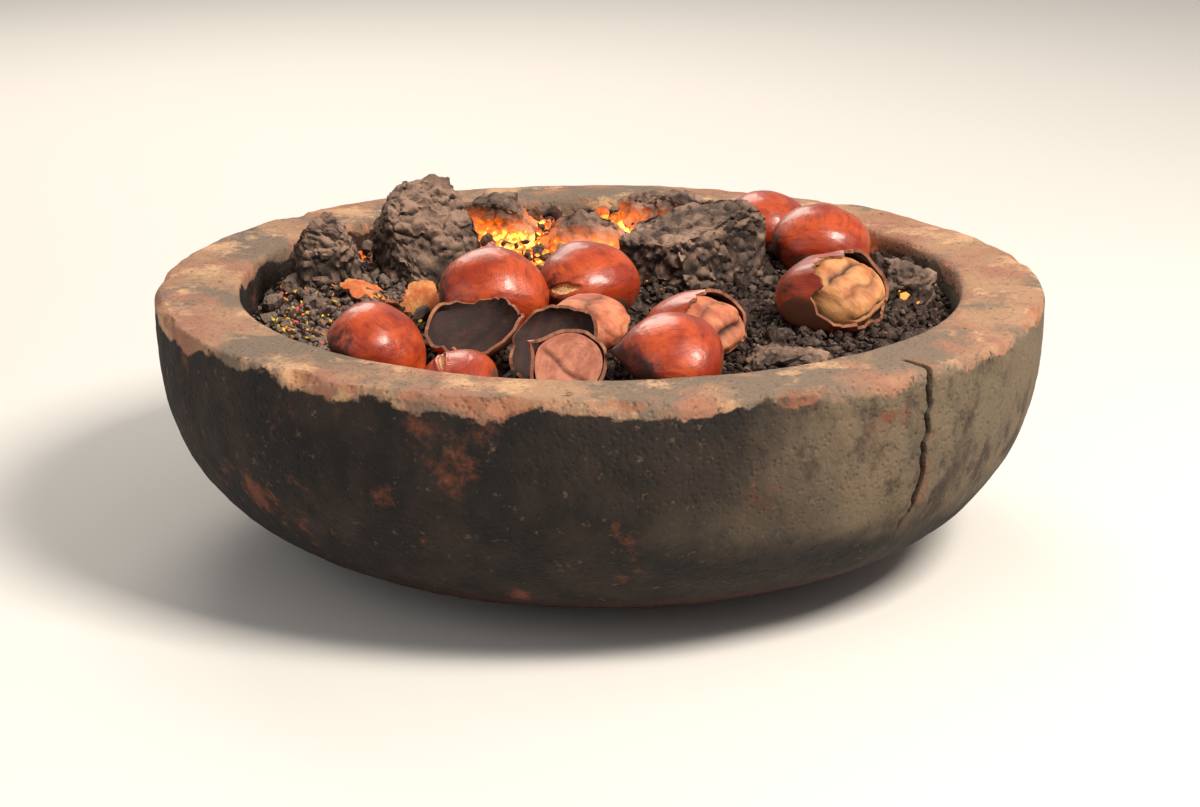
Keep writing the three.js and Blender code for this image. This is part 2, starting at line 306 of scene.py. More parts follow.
class Nodes:
    """A node tree under construction, with short names for the nodes that the finishes use."""

    def __init__(self, tree: bpy.types.NodeTree) -> None:
        """Takes a material's tree or a group's."""
        self.tree = tree
        self.nodes = tree.nodes
        self.place: bpy.types.NodeSocket | None = None

    def link(self, source: object, target: bpy.types.NodeSocket) -> None:
        """Sets a socket from a plain value or from another socket. None leaves it as it is."""
        if isinstance(source, bpy.types.NodeSocket):
            self.tree.links.new(source, target)
        elif source is not None:
            target.default_value = source

    def node(self, kind: str, inputs: dict, **settings: object) -> bpy.types.Node:
        """Adds one node.

        Args:
            kind: The node's type, without ShaderNode.
            inputs: A value or a socket for each input, by the input's name or number.
            settings: The node's own settings.

        Returns:
            The node.
        """
        node = self.nodes.new("ShaderNode" + kind)
        for name, value in settings.items():
            setattr(node, name, value)
        for name, value in inputs.items():
            self.link(value, node.inputs[name])
        return node

    def math(self, operation: str, *values: object, clamp: bool = False) -> bpy.types.NodeSocket:
        """Combines numbers by one of the Math node's operations."""
        return self.node("Math", dict(enumerate(values)), operation=operation, use_clamp=clamp).outputs[0]

    def times(self, first: object, second: object) -> bpy.types.NodeSocket:
        """Multiplies two numbers."""
        return self.math("MULTIPLY", first, second)

    def plus(self, first: object, second: object) -> bpy.types.NodeSocket:
        """Adds two numbers."""
        return self.math("ADD", first, second)

    def scaled(self, value: object, factor: object, start: object) -> bpy.types.NodeSocket:
        """Multiplies a number and adds another to it."""
        return self.math("MULTIPLY_ADD", value, factor, start)

    def eased(self, value: object, low: float, high: float) -> bpy.types.NodeSocket:
        """Maps a number smoothly to 0 below low and 1 above high, or the other way round if low is more."""
        reverse = low > high
        span = {"From Min": min(low, high), "From Max": max(low, high)}
        ends = {"To Min": float(reverse), "To Max": float(not reverse)}
        inputs = {"Value": value, **span, **ends}
        return self.node("MapRange", inputs, interpolation_type="SMOOTHSTEP").outputs["Result"]

    def axis(self, vector: object, name: str) -> bpy.types.NodeSocket:
        """Takes X, Y or Z out of a vector."""
        return self.node("SeparateXYZ", {0: vector}).outputs[name]

    def mapped(self, vector: object, scale: tuple[float, float, float]) -> bpy.types.NodeSocket:
        """Stretches a pattern's places along the axes."""
        return self.node("Mapping", {"Vector": vector, "Scale": scale}).outputs["Vector"]

    def noise(
        self, size: float, detail: float = 4.0, rough: float = 0.55, vector: object = None
    ) -> bpy.types.NodeSocket:
        """Cloudy noise from 0 to 1.

        Args:
            size: The size of a cloud, in the vector's unit.
            detail: How many finer sizes are added.
            rough: How strong those are.
            vector: The places that it reads, the object's own if None.

        Returns:
            The output socket.
        """
        inputs = {"Vector": vector or self.place, "Scale": 1.0 / size, "Detail": detail, "Roughness": rough}
        return self.node("TexNoise", inputs).outputs["Fac"]

    def cloud(
        self,
        size: float,
        detail: float,
        rough: float,
        span: tuple[float, float],
        vector: object = None,
        share: float | None = None,
    ) -> bpy.types.NodeSocket:
        """A cloudy mask.

        Args:
            size: The size of a cloud, in the vector's unit.
            detail: How many finer sizes are added.
            rough: How strong those are.
            span: The noise below which the mask is 0, and above which it is full.
            vector: The places that it reads, the object's own if None.
            share: How full the mask gets, 1 if None.

        Returns:
            The output socket.
        """
        mask = self.eased(self.noise(size, detail, rough, vector), *span)
        return mask if share is None else self.times(mask, share)

    def mix(self, share: object, first: object, second: object) -> bpy.types.NodeSocket:
        """Mixes two colours: the first where the share is 0, the second where it is 1."""
        return self.node("Mix", {0: share, 6: first, 7: second}, data_type="RGBA").outputs[2]


class Shade(Nodes):
    """A material under construction."""

    def __init__(self, name: str) -> None:
        """Starts a material that has one Principled BSDF."""
        self.material = bpy.data.materials.new(name)
        self.material.use_nodes = True
        super().__init__(self.material.node_tree)
        self.surface = self.nodes["Principled BSDF"]
        self.place = self.node("TexCoord", {}).outputs["Object"]

    def kept(self, name: str, vector: bool = False) -> bpy.types.NodeSocket:
        """Reads the number, or the vector, that a piece keeps with each vertex."""
        return self.node("Attribute", {}, attribute_name=name).outputs["Vector" if vector else "Fac"]

    def effect(self, tree: bpy.types.NodeTree, **values: object) -> bpy.types.NodeSocket:
        """Places a shared effect with its own values, and takes what it puts out."""
        return self.node("Group", values, node_tree=tree).outputs[0]

    def set(self, **values: object) -> None:
        """Sets the shader's inputs, by their names with _ for a space."""
        for name, value in values.items():
            self.link(value, self.surface.inputs[name.replace("_", " ")])

    def bump(self, height: object, depth: float, strength: float = 1.0) -> None:
        """Gives the surface a fine relief, so many metres deep where the height is 1."""
        node = self.node("Bump", {"Distance": depth, "Strength": strength, "Height": height})
        self.set(Normal=node.outputs["Normal"])


def rgb(red: int, green: int, blue: int) -> tuple[float, float, float, float]:
    """Turns a screen colour, each part from 0 to 255, into the linear colour that a shader wants."""
    parts = [value / 255.0 for value in (red, green, blue)]
    linear = [part / 12.92 if part <= 0.04045 else ((part + 0.055) / 1.055) ** 2.4 for part in parts]
    return (*linear, 1.0)


class Effect(Nodes):
    """A node group under construction, which several finishes share."""

    kinds = {type(None): "NodeSocketVector", float: "NodeSocketFloat", tuple: "NodeSocketColor"}

    def __init__(self, name: str, inputs: dict[str, object], output: str, kind: str) -> None:
        """Starts a group with named sockets.

        Args:
            name: The group's name.
            inputs: Each input's value: None for a vector, a number, or a colour.
            output: The output's name.
            kind: The output's socket type.
        """
        super().__init__(bpy.data.node_groups.new(name, "ShaderNodeTree"))
        for title, value in inputs.items():
            socket_kind = self.kinds[type(value)]
            socket = self.tree.interface.new_socket(title, in_out="INPUT", socket_type=socket_kind)
            if value is not None:
                socket.default_value = value
        self.tree.interface.new_socket(output, in_out="OUTPUT", socket_type=kind)
        self.given = self.nodes.new("NodeGroupInput").outputs
        self.result = self.nodes.new("NodeGroupOutput").inputs
        self.place = self.given["Vector"]


@cache
def patches() -> bpy.types.NodeTree:
    """Blots one colour over another in ragged patches."""
    grey, black = (0.5, 0.5, 0.5, 1.0), (0.1, 0.1, 0.1, 1.0)
    inputs = {"Vector": None, "Scale": 30.0, "Cover": 0.5, "First": grey, "Second": black}
    effect = Effect("Patches", inputs, "Color", "NodeSocketColor")
    cloud = effect.noise(1.0, 7.0, 0.68)
    effect.link(effect.given["Scale"], cloud.node.inputs["Scale"])
    edge = effect.eased(effect.plus(cloud, effect.given["Cover"]), 0.95, 1.07)
    effect.link(effect.mix(edge, effect.given["First"], effect.given["Second"]), effect.result["Color"])
    return effect.tree


@cache
def grit() -> bpy.types.NodeTree:
    """A gritty relief of grains and pits."""
    effect = Effect("Grit", {"Vector": None, "Scale": 300.0, "Pits": 0.4}, "Height", "NodeSocketFloat")
    grains = effect.noise(1.0, 6.0, 0.7)
    holes = effect.node("TexVoronoi", {"Vector": effect.place}).outputs["Distance"]
    for pattern in (grains, holes):
        effect.link(effect.given["Scale"], pattern.node.inputs["Scale"])
    deep = effect.math("SUBTRACT", effect.eased(holes, 0.05, 0.42), 1.0)
    effect.link(effect.scaled(deep, effect.given["Pits"], grains), effect.result["Height"])
    return effect.tree


@dataclass(frozen=True)
class ClayFinish:
    """Coarse fired clay: bare on the rim, sooty, rusty and olive on the wall, with painted light high up on
    the wall's right side.
    """

    rim_tan: tuple = rgb(180, 138, 105)
    rim_pink: tuple = rgb(168, 114, 90)
    rim_grey: tuple = rgb(124, 106, 89)
    rim_pale: tuple = rgb(214, 168, 126)
    fresh: tuple = rgb(158, 98, 70)
    soot: tuple = rgb(27, 23, 21)
    brown: tuple = rgb(50, 39, 33)
    olive: tuple = rgb(137, 112, 87)
    green: tuple = rgb(99, 93, 76)
    rust: tuple = rgb(110, 62, 42)
    lining: tuple = rgb(78, 41, 33)
    # Near black for the crack: painted shade in the gap.
    gap: tuple = rgb(14, 11, 10)
    rim_bottom: float = 86.2 * MM
    raggedness: float = 22 * MM
    softness: float = 0.7 * MM
    inner_radius: float = 120.5 * MM
    sooted_below: tuple = (88.5 * MM, 86.5 * MM)
    painted_light_from: tuple = (60 * MM, 130 * MM)
    painted_light_above: tuple = (45 * MM, 62 * MM)

    def material(self) -> bpy.types.Material:
        """Builds the material."""
        shade = Shade("fired_clay")
        height = shade.axis(shade.place, "Z")
        flat = shade.mapped(shade.place, (1.0, 1.0, 0.0))
        radius = shade.node("VectorMath", {0: flat}, operation="LENGTH").outputs["Value"]

        lowered = shade.math("SUBTRACT", height, self.raggedness / 2)
        ragged = shade.scaled(shade.noise(0.03, 8.0, 0.66), self.raggedness, lowered)
        bare = shade.eased(ragged, self.rim_bottom - self.softness, self.rim_bottom + self.softness)
        colour = shade.mix(bare, self._wall(shade, height), self._rim(shade))
        inside = shade.eased(radius, self.inner_radius + 1.5 * MM, self.inner_radius - 1.0 * MM)
        lining = shade.mix(shade.noise(0.012, 6.0), self.lining, self.soot)
        colour = shade.mix(shade.times(inside, shade.eased(height, *self.sooted_below)), colour, lining)
        broken = shade.times(shade.kept("worn"), shade.cloud(0.009, 5.0, 0.55, (0.32, 0.6), share=0.6))
        colour = shade.mix(broken, colour, self.fresh)
        # Painted shade: the crack is coloured near black.
        colour = shade.mix(shade.kept("crack"), colour, self.gap)
        shade.set(
            Base_Color=colour,
            Roughness=shade.scaled(shade.noise(0.01), 0.2, 0.72),
            Specular_IOR_Level=0.3,
        )
        coarse = shade.times(shade.noise(0.011, 5.0, 0.6), 1.6)
        relief = shade.effect(grit(), Vector=shade.place, Scale=420.0, Pits=0.5)
        shade.bump(shade.plus(relief, coarse), 1.1 * MM, 0.9)
        return shade.material

    def _rim(self, shade: Shade) -> bpy.types.NodeSocket:
        """Colours the bare rim: tan and pink clay, grey with ash, scraped pale in places."""
        moved = shade.mapped(shade.place, (1.3, 1.1, 0.9))
        colour = shade.mix(shade.cloud(0.03, 6.0, 0.6, (0.4, 0.62)), self.rim_tan, self.rim_pink)
        for vector, scale, cover, second in (
            (shade.place, 19.0, 0.5, self.rim_grey),
            (moved, 34.0, 0.43, self.rim_pale),
            (moved, 260.0, 0.365, self.brown),
        ):
            colour = shade.effect(
                patches(), Vector=vector, Scale=scale, Cover=cover, First=colour, Second=second
            )
        return shade.mix(shade.times(shade.noise(0.004, 3.0), 0.35), colour, self.rim_grey)

    def _wall(self, shade: Shade, height: object) -> bpy.types.NodeSocket:
        """Colours the wall: soot all over, olive and green weathering high up at the right, which also stands
        for painted light on the side towards the light, and rust.
        """
        drawn = shade.mapped(shade.place, (1.0, 1.0, 0.7))
        streaks = shade.mapped(shade.place, (1.0, 1.0, 0.4))
        across = shade.axis(shade.place, "X")
        base = shade.mix(shade.cloud(0.02, 7.0, 0.65, (0.38, 0.66), drawn), self.soot, self.brown)
        olive_and_painted_light = shade.mix(shade.noise(0.03, 6.0, 0.7, drawn), self.green, self.olive)
        blots = shade.cloud(0.021, 8.0, 0.72, (0.47, 0.64), drawn, 0.85)
        olive_and_painted_light = shade.mix(blots, olive_and_painted_light, self.brown)
        # Painted light: the olive and green are laid on the upper right of the wall, the side towards the
        # light.
        side = shade.eased(shade.plus(across, shade.times(shade.noise(0.04), 0.09)), *self.painted_light_from)
        high = shade.eased(shade.plus(height, shade.times(shade.noise(0.02), 0.03)), *self.painted_light_above)
        colour = shade.mix(shade.times(shade.times(side, high), 0.85), base, olive_and_painted_light)
        colour = shade.effect(
            patches(), Vector=shade.place, Scale=34.0, Cover=0.37, First=colour, Second=self.rust
        )
        colour = shade.mix(shade.cloud(0.034, 8.0, 0.68, (0.5, 0.7), streaks, 0.5), colour, self.soot)
        return shade.mix(shade.cloud(0.0035, 4.0, 0.7, (0.6, 0.72), share=0.4), colour, self.olive)


@dataclass(frozen=True)
class CharcoalFinish:
    """Broken charcoal with grey-brown ash on it, which glows between its grains where it is hot. Its colour
    is painted darker on faces that turn sideways or down, as painted shade.
    """

    name: str
    black: tuple = rgb(35, 29, 27)
    brown: tuple = rgb(74, 56, 48)
    ash: tuple = rgb(158, 136, 120)
    ember: tuple = (1.0, 0.16, 0.012, 1.0)
    flame: tuple = (1.0, 0.5, 0.07, 1.0)
    cold: tuple = (0.0, 0.0, 0.0, 1.0)
    grain: float = 3.5 * MM
    ash_cover: float = 0.5
    painted_shade_level: float = 0.7
    glow: float = 7.0

    def material(self) -> bpy.types.Material:
        """Builds the material."""
        shade = Shade(self.name)
        tone = shade.kept("tone")
        facing = shade.axis(shade.node("NewGeometry", {}).outputs["Normal"], "Z")
        upward = shade.eased(facing, -0.3, 0.9)
        # Painted shade: the colour darkens on faces that turn sideways or down, most of all on the lumps.
        painted_light = shade.scaled(upward, 1.0 - self.painted_shade_level, self.painted_shade_level)
        mottle = shade.cloud(self.grain * 2.2, 6.0, 0.7, (0.36, 0.66))
        base = shade.mix(shade.times(mottle, painted_light), self.black, self.brown)
        base = shade.mix(shade.times(shade.times(tone, 0.65), painted_light), base, self.brown)
        settled = shade.scaled(tone, 0.25, shade.noise(self.grain * 1.3, 6.0, 0.75))
        dust = shade.eased(settled, 0.66 - 0.3 * self.ash_cover, 0.8)
        dusty = shade.math("MULTIPLY", shade.times(dust, upward), shade.scaled(tone, 0.9, 0.35), clamp=True)

        below = shade.math("MAXIMUM", shade.eased(facing, 0.95, -0.35), 0.35)
        patchy = shade.times(shade.cloud(self.grain * 3.5, 5.0, 0.65, (0.34, 0.6)), below)
        hot = shade.times(shade.kept("hotness"), patchy)
        fire = shade.mix(shade.eased(hot, 0.2, 0.75), self.ember, self.flame)
        shade.set(
            Base_Color=shade.mix(shade.times(dusty, self.ash_cover), base, self.ash),
            Roughness=0.86,
            Specular_IOR_Level=0.25,
            Emission_Color=shade.mix(hot, self.cold, fire),
            Emission_Strength=self.glow,
        )
        relief = shade.effect(grit(), Vector=shade.place, Scale=1.0 / self.grain, Pits=0.6)
        shade.bump(relief, self.grain * 0.45)
        return shade.material


@dataclass(frozen=True)
class NutShellFinish:
    """A glossy red-brown shell with darker streaks, charred spots, painted shade on the side of each whole
    nut away from the light, and a dull brown base.
    """

    red: tuple = rgb(148, 46, 20)
    orange: tuple = rgb(190, 76, 34)
    dark: tuple = rgb(76, 26, 16)
    darkened: tuple = rgb(42, 21, 16)
    base: tuple = rgb(122, 78, 52)
    flesh: tuple = rgb(222, 172, 116)

    def material(self) -> bpy.types.Material:
        """Builds the material."""
        shade = Shade("nut_shell")
        grain = shade.kept("grain", True)
        streaks = shade.noise(1.0, 5.0, 0.65, shade.mapped(grain, (7.0, 7.0, 0.8)))
        fine = shade.noise(1.0, 3.0, 0.6, shade.mapped(grain, (30.0, 30.0, 1.6)))
        colour = shade.mix(shade.cloud(0.9, 4.0, 0.6, (0.36, 0.64), grain), self.red, self.orange)
        colour = shade.mix(shade.times(shade.eased(streaks, 0.45, 0.75), 0.6), colour, self.dark)
        colour = shade.mix(shade.times(shade.eased(fine, 0.5, 0.8), 0.45), colour, self.dark)
        # Charred spots, which on the whole nuts also paint shade on the side away from the light.
        spots = shade.plus(shade.noise(0.35, 6.0, 0.7, grain), shade.kept("darkening"))
        darkened = shade.eased(spots, 0.74, 0.98)
        colour = shade.mix(shade.times(darkened, 0.92), colour, self.darkened)
        torn = shade.times(shade.noise(0.16, 5.0, 0.75, grain), 1.1)
        patch = shade.eased(shade.plus(shade.kept("hilum"), torn), 0.95, 1.25)
        bottom = shade.mix(shade.times(shade.noise(0.12, 5.0, 0.7, grain), 0.8), self.base, self.dark)
        colour = shade.mix(patch, colour, bottom)
        cut = shade.eased(shade.kept("cut"), 0.35, 0.6)
        colour = shade.mix(cut, colour, shade.mix(shade.eased(fine, 0.4, 0.7), self.flesh, self.base))
        dull = shade.math("MAXIMUM", shade.math("MAXIMUM", patch, cut), shade.times(darkened, 0.5))
        shade.set(
            Base_Color=colour,
            Roughness=shade.scaled(dull, 0.4, 0.33),
            Coat_Weight=shade.scaled(dull, -0.25, 0.25),
            Specular_IOR_Level=0.4,
            Coat_Roughness=0.16,
        )
        shade.bump(shade.plus(streaks, shade.times(fine, 0.6)), 0.35 * MM, 0.6)
        return shade.material


@dataclass(frozen=True)
class KernelFinish:
    """Dry roasted flesh, browner in its grooves and toasted in places."""

    name: str
    flesh: tuple
    toast: tuple
    groove: tuple = rgb(58, 28, 18)
    burn: tuple = rgb(30, 17, 14)

    def material(self) -> bpy.types.Material:
        """Builds the material."""
        shade = Shade(self.name)
        grain = shade.kept("grain", True)
        colour = shade.mix(shade.cloud(0.7, 6.0, 0.6, (0.4, 0.66), grain), self.flesh, self.toast)
        speck = shade.cloud(0.09, 4.0, 0.7, (0.56, 0.7), grain)
        colour = shade.mix(shade.times(speck, 0.5), colour, self.toast)
        grooved = shade.math("MULTIPLY", shade.kept("groove"), 1.15, clamp=True)
        colour = shade.mix(grooved, colour, self.groove)
        darkened = shade.plus(shade.kept("burn"), shade.times(speck, 0.1))
        shade.set(
            Base_Color=shade.mix(shade.eased(darkened, 0.35, 0.75), colour, self.burn),
            Roughness=0.6,
            Subsurface_Weight=0.08,
            Subsurface_Radius=(0.002, 0.001, 0.0006),
        )
        shade.bump(shade.noise(0.16, 6.0, 0.7, grain), 0.7 * MM, 0.8)
        return shade.material


@dataclass(frozen=True)
class LiningFinish:
    """The dull brown inside of a shell and its torn edge."""

    name: str
    dark: tuple
    light: tuple

    def material(self) -> bpy.types.Material:
        """Builds the material."""
        shade = Shade(self.name)
        grain = shade.kept("grain", True)
        hairs = shade.noise(1.0, 4.0, 0.7, shade.mapped(grain, (24.0, 24.0, 2.0)))
        colour = shade.mix(shade.cloud(0.5, 6.0, 0.7, (0.4, 0.7), grain), self.dark, self.light)
        colour = shade.mix(shade.times(shade.eased(hairs, 0.45, 0.7), 0.5), colour, self.dark)
        shade.set(Base_Color=colour, Roughness=0.78)
        shade.bump(hairs, 0.4 * MM, 0.7)
        return shade.material


@dataclass(frozen=True)
class FleckFinish:
    """Small bright flecks, each of its own colour, which glow faintly."""

    glow: float = 0.6

    def material(self) -> bpy.types.Material:
        """Builds the material."""
        shade = Shade("flecks")
        tint = shade.kept("tint", True)
        shade.set(Base_Color=tint, Emission_Color=tint, Emission_Strength=self.glow, Roughness=0.7)
        shade.bump(shade.noise(0.8 * MM), 0.3 * MM)
        return shade.material


class Palette:
    """Every finish of the object, built once."""

    def __init__(self) -> None:
        """Builds the materials."""
        self.clay = ClayFinish().material()
        self.bed = CharcoalFinish("charcoal_bed", grain=0.0028, ash_cover=0.6).material()
        # The lumps take strong painted shade on their sides and undersides.
        self.lump = CharcoalFinish(
            "charcoal_lump",
            black=rgb(40, 34, 32),
            brown=rgb(112, 91, 78),
            ash=rgb(168, 136, 116),
            grain=0.004,
            ash_cover=0.9,
            painted_shade_level=0.12,
        ).material()
        self.shell = NutShellFinish().material()
        self.kernel = KernelFinish("roast_kernel", rgb(214, 154, 98), rgb(178, 106, 60)).material()
        self.pink_kernel = KernelFinish("peeled_kernel", rgb(214, 134, 94), rgb(176, 88, 58)).material()
        self.cut_face = KernelFinish("cut_kernel", rgb(194, 124, 94), rgb(160, 88, 64)).material()
        self.lining = LiningFinish("shell_lining", rgb(40, 22, 18), rgb(74, 42, 31)).material()
        self.torn = LiningFinish("torn_edge", rgb(112, 64, 44), rgb(176, 116, 78)).material()
        self.flake = LiningFinish("flake_skin", rgb(190, 92, 44), rgb(238, 168, 100)).material()
        self.flecks = FleckFinish().material()


# ------------------------------------------------------------------------------------------------ bowl


@dataclass
class Bowl:
    """The turned bowl, with a chipped rim, a hewn wall and one long crack."""

    rim_width: float = 28 * MM
    bevel_height: float = 7 * MM
    bevel_width: float = 5 * MM
    lip: float = 3 * MM
    foot_radius: float = 84 * MM
    foot_height: float = 7 * MM
    body_foot_radius: float = 92 * MM
    cavity_floor: float = 26 * MM
    cavity_foot_radius: float = 62 * MM
    fullness: float = 2.6
    roundness: float = 0.6
    squareness: float = 0.4
    segments: int = 112
    crack_angle: float = -47.8
    crack_width: float = 0.75 * MM
    crack_depth: float = 3.0 * MM
    crack_bottom: float = 30 * MM
    outer_chips: int = 84
    inner_chips: int = 34
    notches: tuple = (-67.5, -101.0, -128.0, -18.0, 52.0, 140.0)
    notch_chips: tuple = ((0.0, 7, 4.2), (1.8, 9, 3.0))
    out_of_round: float = 0.0035

    def __post_init__(self) -> None:
        """Takes the radius and the height from the frame."""
        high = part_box("bowl")[1]
        self.radius = high.x
        self.height = high.z

    def wall(self, foot: float, rim: float, share: np.ndarray) -> np.ndarray:
        """The radius of a rounded wall at a share of its height."""
        return foot + (rim - foot) * (1.0 - (1.0 - share) ** self.fullness) ** self.roundness

    def outline(self) -> list[tuple[float, float]]:
        """Lists the profile's radius and height, from the foot over the rim to the cavity's floor."""
        shares = (np.arange(1, 12) / 12) ** 1.7
        edge = self.height - self.bevel_height
        rise = edge - self.foot_height
        outside = [
            (self.wall(self.body_foot_radius, self.radius, share), self.foot_height + rise * share)
            for share in shares
        ]
        flat_start = self.radius - self.bevel_width
        bevel = [
            (
                flat_start + self.bevel_width * math.cos(angle) ** self.squareness,
                edge + self.bevel_height * math.sin(angle) ** self.squareness,
            )
            for angle in map(math.radians, (0, 12, 28, 45, 62, 78))
        ]
        inner = self.radius - self.rim_width
        flat = [(flat_start - step * MM, self.height) for step in (3, 8, 13, 17)]
        top = self.height - self.lip
        lip = [
            (inner + self.lip * (1.0 - math.sin(angle)), top + self.lip * math.cos(angle))
            for angle in map(math.radians, (10, 50, 90))
        ]
        depth = top - self.cavity_floor
        inside = [
            (self.wall(self.cavity_foot_radius, inner, share), self.cavity_floor + depth * share)
            for share in (0.82, 0.6, 0.35, 0.15, 0.03)
        ]
        foot = self.foot_radius
        return [
            (foot - 2 * MM, 0.0),
            (foot, 1.5 * MM),
            (foot, self.foot_height - 1.5 * MM),
            (foot + 2.5 * MM, self.foot_height),
            *outside,
            *bevel,
            *flat,
            *lip,
            *inside,
            (self.cavity_foot_radius * 0.8, self.cavity_floor),
        ]

    def build(self, palette: Palette) -> None:
        """Extrudes the outline ring by ring, rounds it, and then wears, chips and cracks it."""
        outline = self.outline()
        piece = Bench.primitive(
            "fire_bowl",
            bpy.ops.mesh.primitive_circle_add,
            vertices=self.segments,
            radius=outline[0][0],
            fill_type="NGON",
        )
        Bench.edit(piece)
        for (radius, height), (next_radius, next_height) in zip(outline, outline[1:]):
            bpy.ops.mesh.extrude_region_move(TRANSFORM_OT_translate={"value": (0, 0, next_height - height)})
            grow = next_radius / radius
            bpy.ops.transform.resize(value=(grow, grow, 1), center_override=(0, 0, next_height))
        Bench.recalculate(piece)
        Bench.subdivided(piece, 2)
        self._refine_crack(piece)
        self._weather(piece)
        Bench.smooth(piece, 32)
        Bench.paint(piece, palette.clay)
        hand_over(piece, "clay", "bowl")

    def _refine_crack(self, piece: bpy.types.Object) -> None:
        """Splits the faces round the crack, so that it can be cut sharply."""
        places = Bench.points(piece)
        near = np.abs(self._aside(places)) < 6 * MM
        outer = np.hypot(places[:, 0], places[:, 1]) > self.radius - 14 * MM
        Bench.edit(piece, near & outer & (places[:, 2] > self.crack_bottom - 6 * MM))
        bpy.ops.mesh.subdivide(number_cuts=3)
        Bench.deselect()

    def _aside(self, places: np.ndarray) -> np.ndarray:
        """How far each place lies to the right of the crack's upright plane."""
        angle = np.arctan2(places[:, 1], places[:, 0]) - math.radians(self.crack_angle)
        angle = (angle + math.pi) % (2 * math.pi) - math.pi
        return angle * self.radius

    def _weather(self, piece: bpy.types.Object) -> None:
        """Moves the surface in and out: hewn wall, uneven rim, broken edges, notches and the crack."""
        places = Bench.points(piece)
        normals = Bench.normals(piece)
        radius = np.hypot(places[:, 0], places[:, 1])
        height = places[:, 2]
        outer = ease(radius, self.radius - 14 * MM, self.radius - 4 * MM) * ease(height, 2 * MM, 12 * MM)
        low_wall = ease(radius, self.foot_radius, self.foot_radius + 6 * MM) * (height < 80 * MM)
        outer = np.maximum(outer, low_wall * (normals[:, 2] < 0.2))
        top = ease(normals[:, 2], 0.6, 0.95) * (height > self.height - 2 * MM)

        hewn = 1.1 * MM * fractal_noise(places, 42 * MM, 3, 3) * outer
        nearest, second, tone = cell_noise(places * np.array([1.0, 1.0, 1.7]), 17 * MM, 5)
        hewn += 0.45 * MM * ((second - nearest) - 0.35) * outer * (tone > 0.35)
        hewn += 0.28 * MM * fractal_noise(places, 7 * MM, 9, 3) * np.maximum(outer, top)
        uneven = 0.4 * MM * fractal_noise(places, 30 * MM, 11, 3) * top

        upright = places * np.array([0.0, 0.0, 1.0])
        jag = 1.7 * MM * smooth_noise(upright, 9 * MM, 41) + 0.9 * MM * smooth_noise(upright, 3 * MM, 43)
        away = self._aside(places) - jag
        reach = ease(height, self.crack_bottom, self.crack_bottom + 22 * MM)
        reach *= radius > self.radius - 12 * MM
        width = self.crack_width * (0.45 + 0.75 * reach)
        crack = np.exp(-((away / width) ** 4)) * reach
        flank = np.exp(-(((away - 2.6 * MM) / (2.2 * MM)) ** 2)) * reach
        flank *= ease(smooth_noise(places, 8 * MM, 47), -0.3, 0.4)

        places = places + normals * (hewn + uneven)[:, None]
        chipped = self._chipped(places)
        chips = np.linalg.norm(chipped - places, axis=1)
        places = chipped - normals * (self.crack_depth * crack)[:, None]
        turn = np.arctan2(places[:, 1], places[:, 0])
        places[:, :2] *= (1.0 + self.out_of_round * np.cos(2 * turn + 0.6) * outer)[:, None]
        Bench.move_to(piece, places)
        Bench.note(piece, "worn", np.clip(chips / (0.5 * MM), 0, 1) + 0.8 * flank)
        Bench.note(piece, "crack", np.clip(crack * 1.6, 0, 1))

    def _chipped(self, places: np.ndarray) -> np.ndarray:
        """Breaks shell-shaped chips from both edges of the rim, and deeper notches from the outer one.

        A chip is the hollow of a ball that stands out of the rim: its angle, the radius of its edge, the
        ball's radius and the chip's depth in millimetres, and 1 for the outer edge or -1 for the inner one.

        Args:
            places: The surface's places.

        Returns:
            The places, moved out of every chip's hollow.
        """
        rng = np.random.default_rng(71)
        inner = self.radius - self.rim_width
        chips = []
        for count, edge, largest, deepest, side in (
            (self.outer_chips, self.radius, 24, 2.6, 1),
            (self.inner_chips, inner, 18, 2.0, -1),
        ):
            for _ in range(count):
                angle, size = rng.uniform(-180, 180), rng.uniform(8, largest)
                chips.append((angle, edge, size, rng.uniform(0.6, deepest), side))
        for angle in self.notches:
            chips += [(angle + shift, self.radius, size, depth, 1) for shift, size, depth in self.notch_chips]
        result = places.copy()
        ragged = 0.35 * MM * smooth_noise(places, 3.5 * MM, 73)
        for angle, edge, size, depth, side in chips:
            tilt = math.radians(rng.uniform(25, 65))
            reach = size * MM - depth * MM
            out = edge + side * reach * math.cos(tilt)
            turn = math.radians(angle)
            above = self.height + reach * math.sin(tilt)
            middle = np.array([out * math.cos(turn), out * math.sin(turn), above])
            from_middle = result - middle
            ball = size * MM + ragged
            inside = np.linalg.norm(from_middle, axis=1) < ball
            result[inside] = middle + unit(from_middle[inside]) * ball[inside, None]
        return result


# --------------------------------------------------------------------------------------------- charcoal


@dataclass(frozen=True)
class Grains:
    """Where scattered pieces lie, and how long, how ashy (or of what colour) and how hot each one is."""

    centres: np.ndarray
    sizes: np.ndarray
    tones: np.ndarray
    heats: np.ndarray


